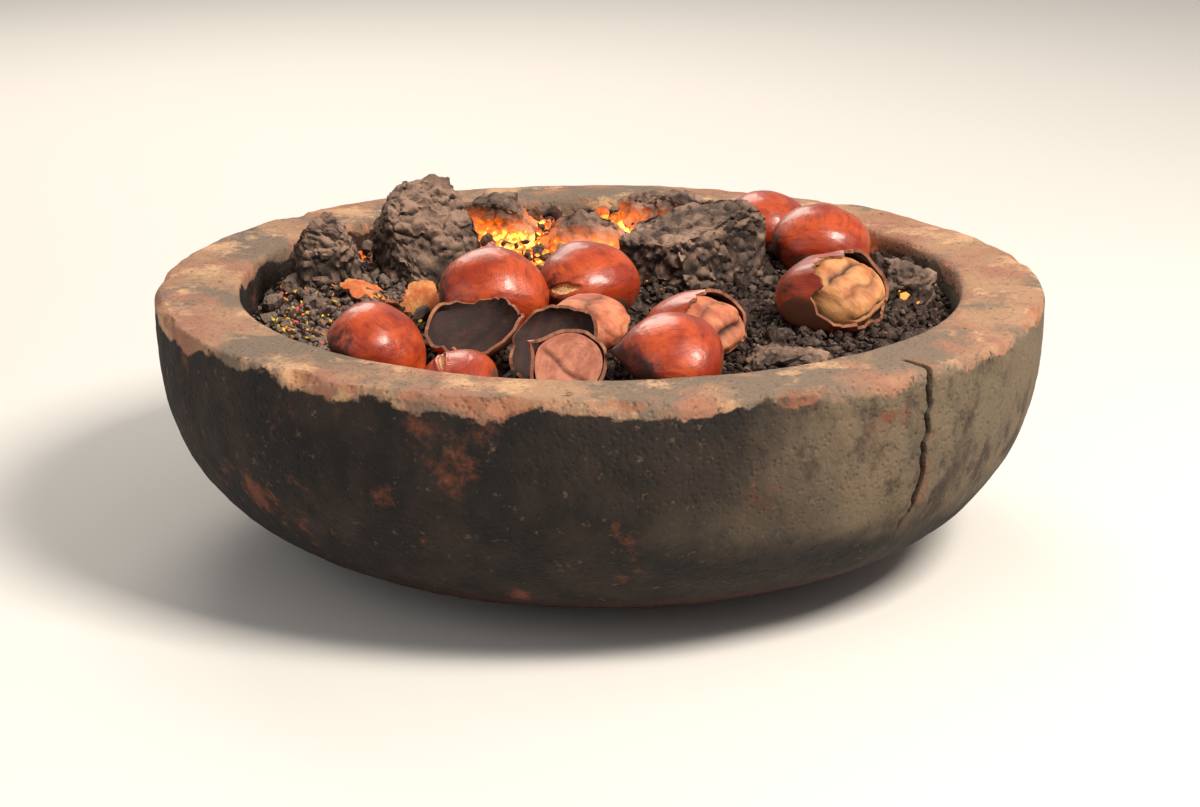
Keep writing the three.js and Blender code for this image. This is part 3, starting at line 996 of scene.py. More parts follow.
class Rubble:
    """Makes many small broken pieces as one joined mesh."""

    kinds = 6
    planes = 5

    @classmethod
    def template(cls, level: int, seed: int) -> tuple[np.ndarray, np.ndarray]:
        """Models one broken piece from an icosphere, cut flat on several sides.

        Args:
            level: How fine the icosphere is.
            seed: Which piece it is.

        Returns:
            Its vertices, about 1 in radius, and its triangles.
        """
        sphere = bpy.ops.mesh.primitive_ico_sphere_add
        piece = Bench.primitive("rubble", sphere, subdivisions=level, radius=1.0)
        rng = np.random.default_rng(seed)
        places = Bench.points(piece)
        places *= 1.0 + 0.22 * smooth_noise(places, 0.9, seed)[:, None]
        for _ in range(cls.planes):
            facing = unit(rng.normal(size=3))
            past = np.clip(places @ facing - rng.uniform(0.45, 0.8), 0.0, None)
            places -= past[:, None] * facing
        faces = np.array([tuple(face.vertices) for face in piece.data.polygons])
        bpy.data.objects.remove(piece, do_unlink=True)
        return places, faces

    @classmethod
    def scattered(
        cls, name: str, grains: Grains, level: int, flatness: tuple[float, float], seed: int
    ) -> bpy.types.Object:
        """Copies a few modelled pieces to every place.

        Args:
            name: The name of the joined piece.
            grains: Where the pieces lie and how they look.
            level: How fine each piece is.
            flatness: The least and the most that a piece's middle and short sides are of its length.
            seed: Which turns and proportions are drawn.

        Returns:
            The joined mesh.
        """
        rng = np.random.default_rng(seed)
        templates = [cls.template(level, seed + kind) for kind in range(cls.kinds)]
        count = len(grains.centres)
        spins = unit(rng.normal(size=(count, 4)))
        stretch = np.ones((count, 3))
        stretch[:, 1:] = rng.uniform(*flatness, size=(count, 2))
        stretch *= grains.sizes[:, None] / 2
        kind = rng.integers(0, cls.kinds, count)
        corners, triangles, tones, heats, start = [], [], [], [], 0
        for index, (shape, faces) in enumerate(templates):
            mine = np.flatnonzero(kind == index)
            local = shape[None] * stretch[mine][:, None]
            turned = np.einsum("nij,nkj->nki", cls.turns(spins[mine]), local)
            placed = turned + grains.centres[mine][:, None]
            corners.append(placed.reshape(-1, 3))
            shift = start + np.arange(len(mine)) * len(shape)
            triangles.append((faces[None] + shift[:, None, None]).reshape(-1, 3))
            tones.append(np.repeat(grains.tones[mine], len(shape), axis=0))
            heats.append(np.repeat(grains.heats[mine], len(shape), axis=0))
            start += len(mine) * len(shape)
        mesh = bpy.data.meshes.new(name)
        mesh.from_pydata(np.concatenate(corners).tolist(), [], np.concatenate(triangles).tolist())
        piece = bpy.data.objects.new(name, mesh)
        bpy.context.scene.collection.objects.link(piece)
        Bench.note(piece, "tone", np.concatenate(tones))
        Bench.note(piece, "hotness", np.concatenate(heats))
        return piece

    @staticmethod
    def turns(spins: np.ndarray) -> np.ndarray:
        """Turns unit quaternions, one to a row, into 3 by 3 matrices."""
        w, x, y, z = spins.T
        rows = [
            [1 - 2 * (y * y + z * z), 2 * (x * y - z * w), 2 * (x * z + y * w)],
            [2 * (x * y + z * w), 1 - 2 * (x * x + z * z), 2 * (y * z - x * w)],
            [2 * (x * z - y * w), 2 * (y * z + x * w), 1 - 2 * (x * x + y * y)],
        ]
        return np.array(rows).transpose(2, 0, 1)


@dataclass
class CharcoalBed:
    """The bed: a core, coarse and fine broken charcoal on it, hot embers at the back, and bright flecks."""

    level: float = 82 * MM
    rise_right: float = 3 * MM
    rise_back: float = 3 * MM
    wave: float = 1.1 * MM
    cavity_radius: float = 122 * MM
    edge_radius: float = 120.6 * MM
    edge_drop: float = 4 * MM
    core_drop: float = 2.2 * MM
    core_depth: float = 16 * MM
    core_steps: int = 190
    fire: tuple = (
        (-14 * MM, 66 * MM, 58 * MM),
        (84 * MM, 84 * MM, 30 * MM),
        (-70 * MM, 84 * MM, 34 * MM),
    )
    mounds: tuple = (
        (-78 * MM, 26 * MM, 26 * MM, 5 * MM),
        (34 * MM, 20 * MM, 30 * MM, 3 * MM),
        (58 * MM, -70 * MM, 22 * MM, 3 * MM),
        (0 * MM, 80 * MM, 48 * MM, 5 * MM),
    )
    kept_clear: tuple = ("chestnut_", "split_", "peeled_", "half_", "empty_")
    left_flecks: int = 110
    right_flecks: int = 16
    middle_flecks: int = 26
    large_fleck: tuple = (103 * MM, -8 * MM)
    large_fleck_size: float = 6.0 * MM
    yellow: tuple = (0.84, 0.52, 0.03)
    amber: tuple = (0.80, 0.26, 0.04)
    pink: tuple = (0.55, 0.09, 0.08)
    teal: tuple = (0.16, 0.24, 0.20)

    def height(self, x: np.ndarray, y: np.ndarray) -> np.ndarray:
        """The height of the bed's top, heaped a little against the lumps."""
        slope = (self.rise_back * y + self.rise_right * x) / self.cavity_radius
        wide = x / MM
        deep = y / MM
        waves = np.sin(wide / 13 + 1) * np.cos(deep / 11) + np.sin((wide + deep) / 19)
        heaped = sum(
            rise * np.exp(-(((x - mx) ** 2 + (y - my) ** 2) / reach**2))
            for mx, my, reach, rise in self.mounds
        )
        edge = self.cavity_radius
        fallen = self.edge_drop * ease(np.hypot(x, y), edge - 18 * MM, edge - 2 * MM)
        return self.level + slope + self.wave * waves + heaped - fallen

    def heat(self, x: np.ndarray, y: np.ndarray) -> np.ndarray:
        """How hot the bed is, from 0 to 1: hot at the back, where the fire was lit."""
        hot = [1.0 - ease(np.hypot(x - fx, y - fy), 0.35 * reach, reach) for fx, fy, reach in self.fire]
        return np.max(hot, axis=0)

    def build(self, palette: Palette) -> None:
        """Builds the core, then scatters everything that lies on it."""
        self._core(palette)
        self._grains(palette, "charcoal_grit", 2.9 * MM, (2.4 * MM, 4.8 * MM), 1, 101, 0.0)
        self._grains(palette, "charcoal_pieces", 8.5 * MM, (5.5 * MM, 10.5 * MM), 2, 202, 0.25)
        self._flecks(palette)

    def _core(self, palette: Palette) -> None:
        """Models the core from a grid, trimmed round, closed below and broken on top."""
        piece = Bench.primitive(
            "charcoal_core",
            bpy.ops.mesh.primitive_grid_add,
            x_subdivisions=self.core_steps,
            y_subdivisions=self.core_steps,
            size=2 * self.edge_radius,
        )
        places = Bench.points(piece)
        outside = np.hypot(places[:, 0], places[:, 1]) > self.edge_radius
        Bench.edit(piece, outside)
        bpy.ops.mesh.delete(type="VERT")
        bpy.ops.mesh.select_all(action="SELECT")
        bpy.ops.mesh.region_to_loop()
        bpy.ops.mesh.extrude_region_move(TRANSFORM_OT_translate={"value": (0, 0, -self.core_depth)})
        bpy.ops.mesh.edge_face_add()
        Bench.recalculate(piece)
        places = Bench.points(piece)
        radius = np.hypot(places[:, 0], places[:, 1])
        rim = radius > self.edge_radius - 1.4 * MM
        places[rim, :2] *= (self.edge_radius / radius[rim])[:, None]
        x, y = places[:, 0], places[:, 1]
        upper = places[:, 2] > -self.core_depth / 2
        nearest, second, tone = cell_noise(np.stack([x, y, 0 * x], axis=1), 5.5 * MM, 61)
        crumbs = 2.4 * MM * (second - nearest) + 1.6 * MM * (tone - 0.5)
        crumbs += 1.0 * MM * fractal_noise(places, 3.2 * MM, 63, 3)
        surface = self.height(x, y) - self.core_drop + crumbs * ease(self.edge_radius - radius, 0, 4 * MM)
        floor = self.level - self.core_depth
        places[:, 2] = np.where(upper, surface, floor)
        places[~upper, :2] *= 0.97
        Bench.move_to(piece, places)
        Bench.note(piece, "tone", tone * 0.45 + 0.5 * ease(-x, 20 * MM, 90 * MM))
        Bench.note(piece, "hotness", self.heat(x, y))
        Bench.smooth(piece, 50)
        Bench.paint(piece, palette.bed)
        hand_over(piece, "charcoal", "charcoal_bed")

    def _clear(self, centres: np.ndarray, room: float) -> np.ndarray:
        """Says which places are outside every nut, kernel and shell, with some room to spare."""
        free = np.ones(len(centres), bool)
        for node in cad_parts:
            if not node.startswith(self.kept_clear):
                continue
            low, high = box_of(node)
            half = (high - low) / 2 + room
            free &= np.sum(((centres - (low + high) / 2) / half) ** 2, axis=1) > 0.92
        return free

    def _grains(
        self,
        palette: Palette,
        name: str,
        spacing: float,
        size: tuple[float, float],
        level: int,
        seed: int,
        skipped: float,
    ) -> None:
        """Scatters one size of broken charcoal evenly over the bed.

        Args:
            palette: The finishes.
            name: The piece's name.
            spacing: How far apart the pieces lie.
            size: The least and the greatest length of a piece.
            level: How finely a piece is modelled.
            seed: Which places are drawn.
            skipped: The share of places that stay empty.
        """
        rng = np.random.default_rng(seed)
        steps = np.arange(-self.cavity_radius, self.cavity_radius, spacing)
        x, y = (axis.ravel() for axis in np.meshgrid(steps, steps))
        x = x + rng.uniform(-0.5, 0.5, len(x)) * spacing
        y = y + rng.uniform(-0.5, 0.5, len(y)) * spacing
        sizes = rng.uniform(*size, len(x)) * rng.uniform(0.75, 1.0, len(x))
        lift = rng.uniform(-0.25, 0.3, len(x)) * sizes
        keep = np.hypot(x, y) + sizes * 0.42 < self.cavity_radius - 1.2 * MM
        keep &= rng.random(len(x)) >= skipped
        centres = np.stack([x, y, self.height(x, y) - 0.4 * MM + lift], axis=1)
        keep &= self._clear(centres, 0.3 * MM)
        ashy = 0.9 * ease(-x, 20 * MM, 90 * MM)
        heat = self.heat(x, y) * ease(rng.random(len(x)), 0.3, 0.75)
        tones = np.clip(rng.random(len(x)) * 0.6 + ashy, 0.0, 1.0)
        grains = Grains(centres[keep], sizes[keep], tones[keep], heat[keep])
        piece = Rubble.scattered(name, grains, level, (0.5, 0.95), seed)
        Bench.paint(piece, palette.bed)
        hand_over(piece, "charcoal")

    def _flecks(self, palette: Palette) -> None:
        """Scatters bright flecks over the left of the bed, and a few at the right."""
        rng = np.random.default_rng(303)
        left, right, middle = self.left_flecks, self.right_flecks, self.middle_flecks
        along = rng.uniform(-46, 24, left) * MM
        edge = np.sqrt(np.maximum((117 * MM) ** 2 - along**2, 0))
        across = rng.gamma(2.0, 10.0, left) * MM - edge
        flat = np.concatenate(
            [
                np.stack([across, along], axis=1),
                np.stack([rng.uniform(88, 112, right), rng.uniform(-22, 26, right)], axis=1) * MM,
                np.stack([rng.uniform(-60, 96, middle), rng.uniform(-70, 40, middle)], axis=1) * MM,
            ]
        )
        flat[left] = self.large_fleck
        sizes = rng.uniform(1.0, 2.7, len(flat)) * MM
        sizes[left] = self.large_fleck_size
        keep = np.hypot(flat[:, 0], flat[:, 1]) < self.cavity_radius - 4 * MM
        height = self.height(flat[:, 0], flat[:, 1]) + 1.5 * MM
        centres = np.concatenate([flat, height[:, None]], axis=1)
        keep &= self._clear(centres, 0.5 * MM)
        centres, sizes = centres[keep], sizes[keep]
        tints = np.array([self.yellow, self.amber, self.pink, self.teal])
        chosen = tints[rng.choice(4, len(sizes), p=(0.42, 0.34, 0.14, 0.10))]
        chosen *= rng.uniform(0.5, 1.0, len(sizes))[:, None]
        chosen[sizes > 4 * MM] = self.amber
        grains = Grains(centres, sizes, chosen, np.zeros(len(sizes)))
        piece = Rubble.scattered("bright_flecks", grains, 1, (0.25, 0.6), 304)
        piece.data.attributes["tone"].name = "tint"
        Bench.paint(piece, palette.flecks)
        hand_over(piece, "charcoal")


@dataclass
class CharcoalLump:
    """One big crumbly lump, cut by a few broken faces, that fills its CAD node's box."""

    node: str
    seed: int
    level: int = 6
    planes: int = 4
    crumb: float = 5.2 * MM
    boxy: float = 0.82

    def build(self, bed: CharcoalBed, palette: Palette) -> None:
        """Models the lump, which glows at its foot where the bed is hot."""
        low, high = box_of(self.node)
        name = self.node.replace("charcoal_lump", "cinder")
        sphere = bpy.ops.mesh.primitive_ico_sphere_add
        piece = Bench.primitive(name, sphere, subdivisions=self.level, radius=1.0)
        rng = np.random.default_rng(self.seed)
        places = Bench.points(piece)
        places = np.sign(places) * np.abs(places) ** self.boxy
        places *= 1.0 + 0.26 * fractal_noise(places, 1.1, self.seed, 2)[:, None]
        for _ in range(self.planes):
            facing = rng.normal(size=3)
            facing[2] = abs(facing[2]) * 0.8
            facing = unit(facing)
            past = np.clip(places @ facing - rng.uniform(0.55, 0.85), 0.0, None)
            places -= 0.85 * past[:, None] * facing
        span = places.max(0) - places.min(0)
        places = (places - places.min(0)) / span * (high - low) + low
        Bench.move_to(piece, places)
        normals = Bench.normals(piece)
        nearest, second, tone = cell_noise(places, self.crumb, self.seed)
        fine, fine_second, _ = cell_noise(places, self.crumb * 0.42, self.seed + 50)
        relief = 2.1 * MM * (second - nearest - 0.3) + 1.2 * MM * (tone - 0.5)
        relief += 1.0 * MM * (fine_second - fine - 0.3)
        relief += 1.3 * MM * fractal_noise(places, 9 * MM, self.seed, 4)
        Bench.move_to(piece, places + normals * (relief - 0.5 * MM)[:, None])
        worn = smooth_noise(places, 14 * MM, self.seed + 90)
        Bench.note(piece, "tone", np.clip(0.2 + 0.5 * tone + 0.5 * worn, 0, 1))
        near_bed = 1.0 - ease(places[:, 2], bed.level + 2 * MM, bed.level + 16 * MM)
        Bench.note(piece, "hotness", bed.heat(places[:, 0], places[:, 1]) * near_bed * 0.9)
        Bench.smooth(piece, 35)
        Bench.paint(piece, palette.lump)
        hand_over(piece, "charcoal", self.node)


# -------------------------------------------------------------------------------------------- chestnuts


class Flesh(Enum):
    """Which finish a kernel has."""

    ROASTED = "kernel"
    PEELED = "pink_kernel"


@dataclass(frozen=True)
class NutForm:
    """A chestnut's shape: its tip along +Z, its flat side towards -Y, its widest place at the origin."""

    width: float = 35 * MM
    length: float = 31 * MM
    thickness: float = 25 * MM
    flatness: float = 0.72
    widest: float = 0.43
    shell: float = 1.1 * MM
    gap: float = 0.35 * MM

    def profile(self, share: np.ndarray) -> np.ndarray:
        """How wide the nut is at a share of its length, from 0 to 1."""
        low = (1.0 - (1.0 - np.minimum(share / self.widest, 1.0)) ** 2.5) ** 0.45
        high = (1.0 - (np.maximum(share - self.widest, 0.0) / (1.0 - self.widest)) ** 2.1) ** 0.66
        return np.where(share < self.widest, low, high)

    def surface(self, directions: np.ndarray, scale: float, inset: float = 0.0) -> np.ndarray:
        """Places directions on the nut's skin.

        Args:
            directions: An (n, 3) array of unit vectors.
            scale: How large the nut is.
            inset: How far below the skin the surface lies.

        Returns:
            An (n, 3) array of places.
        """
        x, y, z = directions.T
        share = np.arccos(np.clip(-z, -1.0, 1.0)) / math.pi
        spread = np.maximum(np.hypot(x, y), 1e-9)
        reach = self.profile(share) / spread
        sizes = (self.width, self.length, self.thickness)
        width, length, thickness = (size * scale - 2 * inset for size in sizes)
        flat = self.flatness + (1.0 - self.flatness) * ease(y / spread, -0.3, 0.3)
        ahead = (share - self.widest) * length
        return np.stack([x * reach * width / 2, y * reach * flat * thickness / 2, ahead], axis=1)


@dataclass(frozen=True)
class Aim:
    """Where a nut's tip points: its heading (0 is +X), its rise, and its roll round the tip, in degrees."""

    heading: float
    rise: float
    roll: float

    def turned(self, places: np.ndarray) -> np.ndarray:
        """Turns places from the nut's own axes to the frame's."""
        heading, rise = math.radians(self.heading), math.radians(self.rise)
        tip = Vector((math.cos(heading) * math.cos(rise), math.sin(heading) * math.cos(rise), math.sin(rise)))
        back = (Vector((0, 0, 1)) - tip * tip.z).normalized()
        side = back.cross(tip)
        basis = np.array([side, back, tip]).T
        spin = np.array(Quaternion(tip, math.radians(self.roll)).to_matrix())
        return places @ (spin @ basis).T


@dataclass(frozen=True)
class Mark:
    """A darkened spot round a direction. On the whole chestnuts these spots are painted shade on the side
    away from the light, which the shell's noise breaks into charred spots.
    """

    toward: tuple[float, float, float]
    size: float
    strength: float


@dataclass(frozen=True)
class Slit:
    """A cut in the shell, from one direction to another, gaping most in its middle."""

    start: tuple[float, float, float]
    end: tuple[float, float, float]
    width: float = 3.2 * MM
    depth: float = 1.5 * MM


@dataclass
class NutPiece:
    """What every piece of a chestnut has: its node, its aim, its size and its own seed."""

    node: str
    aim: Aim
    scale: float = 1.0
    seed: int = 1
    around: int = 128
    along: int = 72
    tip: tuple[float, float, float] = (0.0, 0.0, 1.0)
    tuft: float = 2.8 * MM
    form: NutForm = field(default_factory=NutForm)

    def ball(self, name: str) -> tuple[bpy.types.Object, np.ndarray]:
        """Starts a piece from a sphere with its poles at tip and base, and gives its directions too."""
        sphere = bpy.ops.mesh.primitive_uv_sphere_add
        piece = Bench.primitive(name, sphere, segments=self.around, ring_count=self.along, radius=1.0)
        return piece, unit(Bench.points(piece))

    def rounded(self, places: np.ndarray) -> np.ndarray:
        """Makes a nut a little uneven, as grown things are."""
        bulge = 0.035 * smooth_noise(places, 15 * MM, self.seed)
        bulge += 0.012 * smooth_noise(places, 6 * MM, self.seed)
        return places * (1.0 + bulge)[:, None]

    def place(self, piece: bpy.types.Object, local: np.ndarray, reference: np.ndarray, node: str) -> None:
        """Turns a piece and moves it to its node.

        Args:
            piece: The piece to place.
            local: Its vertices in the nut's own axes.
            reference: The CAD shape's points in the same axes.
            node: The CAD node whose box they fill.
        """
        turned = self.aim.turned(reference)
        low, high = box_of(node)
        shift = (low + high - turned.min(0) - turned.max(0)) / 2
        Bench.move_to(piece, self.aim.turned(local) + shift)

    def grain(self, piece: bpy.types.Object, directions: np.ndarray) -> None:
        """Keeps the directions, shifted by the seed, so that each nut has its own pattern."""
        Bench.note(piece, "grain", directions + 3.7 * self.seed)

    def pointed(self, directions: np.ndarray, local: np.ndarray) -> None:
        """Draws a nut's end out to its small point."""
        away = angle_from(self.tip, directions)
        local[:, 2] += self.tuft * np.exp(-away / 0.05)
        local[:, :2] *= (1.0 - 0.28 * np.exp(-away / 0.12))[:, None]

    def base(self, local: np.ndarray) -> np.ndarray:
        """Says which places belong to the dull base, from 0 to 1."""
        above = local[:, 2] + self.form.widest * self.form.length * self.scale
        return 1.0 - ease(above, 0.7 * MM, 2.0 * MM)

    def darkened(self, directions: np.ndarray, marks: tuple[Mark, ...]) -> np.ndarray:
        """How dark each direction is: charred round the tip, and darkened round each mark, which on a whole
        nut is painted shade.
        """
        total = 0.45 * np.exp(-angle_from(self.tip, directions) / 0.16)
        for mark in marks:
            total += mark.strength * np.exp(-((angle_from(mark.toward, directions) / mark.size) ** 2))
        return total


@dataclass
class WholeChestnut(NutPiece):
    """A whole roasted chestnut in its glossy shell, with its dull base, its tuft and its slits."""

    slits: tuple[Slit, ...] = ()
    dark_marks: tuple[Mark, ...] = ()

    def build(self, palette: Palette) -> None:
        """Models and hands over the nut."""
        piece, directions = self.ball(self.node.replace("chestnut", "roast_nut"))
        reference = self.form.surface(directions, self.scale)
        local = self.rounded(reference)
        hilum = self.base(reference)
        self.pointed(directions, local)
        outward = unit(local)
        veins = smooth_noise(directions * np.array([9.0, 9.0, 1.2]), 1.0, self.seed + 5)
        dents = smooth_noise(local, 7 * MM, self.seed + 9)
        relief = 0.10 * MM * veins + 0.22 * MM * dents - 0.25 * MM * hilum
        cut = np.zeros(len(directions))
        for slit in self.slits:
            gape, lips = self._opened(slit, directions)
            relief += lips * 0.5 * MM - gape * slit.depth
            cut = np.maximum(cut, gape)
        local += outward * relief[:, None]
        self.place(piece, local, reference, self.node)
        self.grain(piece, directions)
        Bench.note(piece, "hilum", hilum)
        Bench.note(piece, "cut", cut)
        # The tip is charred, and the marks paint shade on the side of the nut away from the light.
        Bench.note(piece, "darkening", self.darkened(directions, self.dark_marks))
        Bench.smooth(piece)
        Bench.paint(piece, palette.shell)
        hand_over(piece, "nut_shell", self.node)

    def _opened(self, slit: Slit, directions: np.ndarray) -> tuple[np.ndarray, np.ndarray]:
        """Finds what a slit opens.

        Args:
            slit: The slit.
            directions: The vertices' directions.

        Returns:
            How open each one is, and how much it belongs to the curled lips, both from 0 to 1.
        """
        start, end = unit(slit.start), unit(slit.end)
        across = unit(np.cross(start, end))
        ahead = np.cross(across, start)
        length = math.acos(float(np.clip(start @ end, -1, 1)))
        share = np.arctan2(directions @ ahead, directions @ start) / length
        reach = self.form.thickness * self.scale * 0.62
        aside = np.arcsin(np.clip(directions @ across, -1, 1)) * reach
        aside = aside + 0.5 * MM * smooth_noise(directions, 0.16, self.seed + 3)
        within = np.clip(np.sin(np.clip(share, 0.0, 1.0) * math.pi), 0.0, 1.0) ** 0.6
        half = slit.width / 2 * within
        gape = (1.0 - ease(np.abs(aside), half * 0.55, half * 1.05 + 0.05 * MM)) * (within > 0.02)
        lips = np.exp(-(((np.abs(aside) - half * 1.35) / (0.9 * MM)) ** 2)) * within
        return gape, lips * (1.0 - gape)


@dataclass
class Kernel(NutPiece):
    """A kernel without its shell, with wrinkled grooves from end to end."""

    around: int = 192
    along: int = 96
    flesh: Flesh = Flesh.ROASTED
    inset: float = 1.45 * MM
    grooves: tuple[float, ...] = (20, 62, 104, 150)
    groove_depth: float = 2.0 * MM
    groove_width: float = 5.0
    dark_marks: tuple[Mark, ...] = ()
    lobes: float = 0.0
    pit: tuple[float, float, float] | None = None

    def build(self, palette: Palette) -> None:
        """Models and hands over the kernel."""
        piece, directions = self.ball("inner_" + self.node)
        reference = self.form.surface(directions, self.scale, self.inset)
        local = self.rounded(reference)
        groove = self._grooved(directions)
        outward = unit(local)
        folds = smooth_noise(directions * np.array([6.0, 6.0, 1.5]), 1.0, self.seed + 1)
        pits = smooth_noise(local, 2.2 * MM, self.seed + 2)
        relief = 0.35 * MM * folds + 0.15 * MM * pits - self.groove_depth * groove
        relief -= self.lobes * np.clip(smooth_noise(directions, 0.62, self.seed + 4), -0.2, 1.0)
        dark = groove.copy()
        if self.pit:
            hole = np.exp(-((angle_from(self.pit, directions) / 0.2) ** 2))
            relief -= 2.6 * MM * hole
            dark = np.maximum(dark, hole)
        local += outward * relief[:, None]
        self.place(piece, local, reference, self.node)
        self.grain(piece, directions)
        Bench.note(piece, "groove", dark)
        Bench.note(piece, "burn", self.darkened(directions, self.dark_marks))
        Bench.smooth(piece)
        Bench.paint(piece, getattr(palette, self.flesh.value))
        hand_over(piece, "kernel", self.node)

    def _grooved(self, directions: np.ndarray) -> np.ndarray:
        """How deep in a groove each direction lies, from 0 to 1."""
        around = np.degrees(np.arctan2(directions[:, 1], directions[:, 0]))
        wander = 7 * smooth_noise(directions, 0.55, self.seed + 6)
        wander += 3 * smooth_noise(directions, 0.18, self.seed + 7)
        fade = 1.0 - ease(np.abs(directions[:, 2]), 0.72, 0.97)
        total = np.zeros(len(directions))
        for index, place in enumerate(self.grooves):
            away = (around + wander - place + 180) % 360 - 180
            deep = 0.7 + 0.3 * math.sin(index * 2.4 + self.seed)
            crease = 0.65 * np.exp(-np.abs(away) / (0.8 * self.groove_width))
            trough = 0.35 * np.exp(-((away / (3.0 * self.groove_width)) ** 2))
            total = np.maximum(total, deep * (crease + trough))
        return total * fade


@dataclass
class OpenShell(NutPiece):
    """A thin shell with a mouth: split and curled back, or halved."""

    kernel_node: str | None = None
    mouth: tuple[float, float, float] = (0, 1, 0)
    mouth_at: tuple[float, float, float] | None = None
    mouth_half: tuple[float, float, float] = (17, 14, 15)
    jag: float = 0.10
    curl: float = 2.0 * MM
    dark_marks: tuple[Mark, ...] = ()

    def build(self, palette: Palette) -> None:
        """Models and hands over the shell."""
        piece, ball = self.ball("husk_" + self.node)
        Bench.edit(piece, ball[:, 2] > 1.0 - 1e-6)
        bpy.ops.mesh.delete(type="VERT")
        Bench.deselect()
        ball = Bench.points(piece)
        around = np.arctan2(ball[:, 1], ball[:, 0])
        down = np.arccos(np.clip(ball[:, 2], -1, 1))
        ring = math.pi / self.along
        share = np.clip((down - ring) / (math.pi - ring), 0, 1)
        edge = self._edge(around)
        directions = self._direction(around, edge + share * (math.pi - edge))
        local = self.rounded(self.form.surface(directions, self.scale))
        outward = unit(local)
        near = np.exp(-share * (math.pi - edge) / 0.24)
        ruffle = 0.6 + 0.7 * smooth_noise(self._ring(around), 0.5, self.seed + 8)
        relief = self.curl * near * ruffle
        relief += 0.25 * MM * smooth_noise(local, 6 * MM, self.seed + 9)
        local += outward * relief[:, None]
        self.pointed(directions, local)
        anchor = self.kernel_node or self.node
        if self.kernel_node:
            reference = self.form.surface(all_round(), self.scale, self.form.shell + self.form.gap)
        else:
            reference = self.form.surface(all_round(), self.scale)
            reference[:, 1] = np.minimum(reference[:, 1], 0.0)
        self.place(piece, local, reference, anchor)
        self.grain(piece, directions)
        Bench.note(piece, "hilum", self.base(self.form.surface(directions, self.scale)))
        Bench.note(piece, "cut", np.zeros(len(directions)))
        Bench.note(piece, "darkening", self.darkened(directions, self.dark_marks))
        Bench.paint(piece, palette.shell, palette.lining, palette.torn)
        Bench.recalculate(piece)
        Bench.thickened(piece, self.form.shell, -1.0)
        Bench.smooth(piece, 50)
        hand_over(piece, "nut_shell", self.node)

    def _axes(self) -> tuple[np.ndarray, np.ndarray, np.ndarray]:
        """The mouth's axis and two directions across it."""
        axis = unit(self.mouth)
        first = unit(np.cross(axis, self.tip))
        return axis, first, np.cross(axis, first)

    @staticmethod
    def _ring(around: np.ndarray) -> np.ndarray:
        """Places on a circle of radius 1, so that noise has no seam where it closes."""
        return np.stack([np.cos(around), np.sin(around), 0 * around], axis=1)

    def _direction(self, around: np.ndarray, down: np.ndarray) -> np.ndarray:
        """Directions at angles round the mouth's axis and away from it."""
        axis, first, second = self._axes()
        ring = np.cos(around)[:, None] * first + np.sin(around)[:, None] * second
        return np.cos(down)[:, None] * axis + np.sin(down)[:, None] * ring

    def _edge(self, around: np.ndarray) -> np.ndarray:
        """How far from its axis the mouth reaches on each side, with a torn outline."""
        ring = self._ring(around)
        torn = self.jag * smooth_noise(ring, 0.34, self.seed + 11)
        torn += 0.5 * self.jag * smooth_noise(ring, 0.12, self.seed + 12)
        if self.mouth_at is None:
            return math.pi / 2 + torn
        at = np.array(self.mouth_at) * MM * self.scale
        half = np.array(self.mouth_half) * MM * self.scale
        edge = np.full(len(around), 0.3)
        for down in np.linspace(0.3, 2.4, 60):
            directions = self._direction(around, np.full(len(around), down))
            places = self.form.surface(directions, self.scale)
            inside = np.sum(((places - at) / half) ** 2, axis=1) < 1
            edge = np.where(inside, down, edge)
        return edge + torn


def all_round() -> np.ndarray:
    """Lists directions evenly all round, to measure a nut's box with."""
    count = 6000
    step = np.arange(count) + 0.5
    height = 1 - 2 * step / count
    turn = step * math.pi * (1 + math.sqrt(5))
    spread = np.sqrt(1 - height**2)
    return np.stack([spread * np.cos(turn), spread * np.sin(turn), height], axis=1)


@dataclass
class HalfKernel(NutPiece):
    """The kernel of a halved nut, with a flat, slightly shrunken cut face."""

    inset: float = 1.45 * MM

    def build(self, palette: Palette) -> None:
        """Models and hands over the half kernel."""
        piece, directions = self.ball("inner_" + self.node)
        reference = self.form.surface(directions, self.scale, self.inset)
        local = reference.copy()
        local[:, :2] *= 0.985
        face = directions[:, 1] > 0
        inward = ease(directions[:, 1], 0.0, 0.5)
        hollow = 0.5 * MM * fractal_noise(local, 9 * MM, self.seed, 3) - 0.35 * MM * inward
        aside = local[:, 0] - 1.5 * MM * smooth_noise(local, 8 * MM, 4)
        seam = np.exp(-((aside / (0.8 * MM)) ** 2)) * inward
        local[:, 1] = np.where(face, hollow * inward - 0.7 * MM * seam, local[:, 1])
        reference[:, 1] = np.minimum(reference[:, 1], 0.0)
        self.place(piece, local, reference, self.node)
        self.grain(piece, directions)
        Bench.note(piece, "groove", 0.55 * seam)
        Bench.note(piece, "burn", 0.25 * np.clip(smooth_noise(local, 5 * MM, self.seed + 1), 0, 1))
        Bench.smooth(piece, 40)
        Bench.paint(piece, palette.cut_face)
        hand_over(piece, "kernel", self.node)


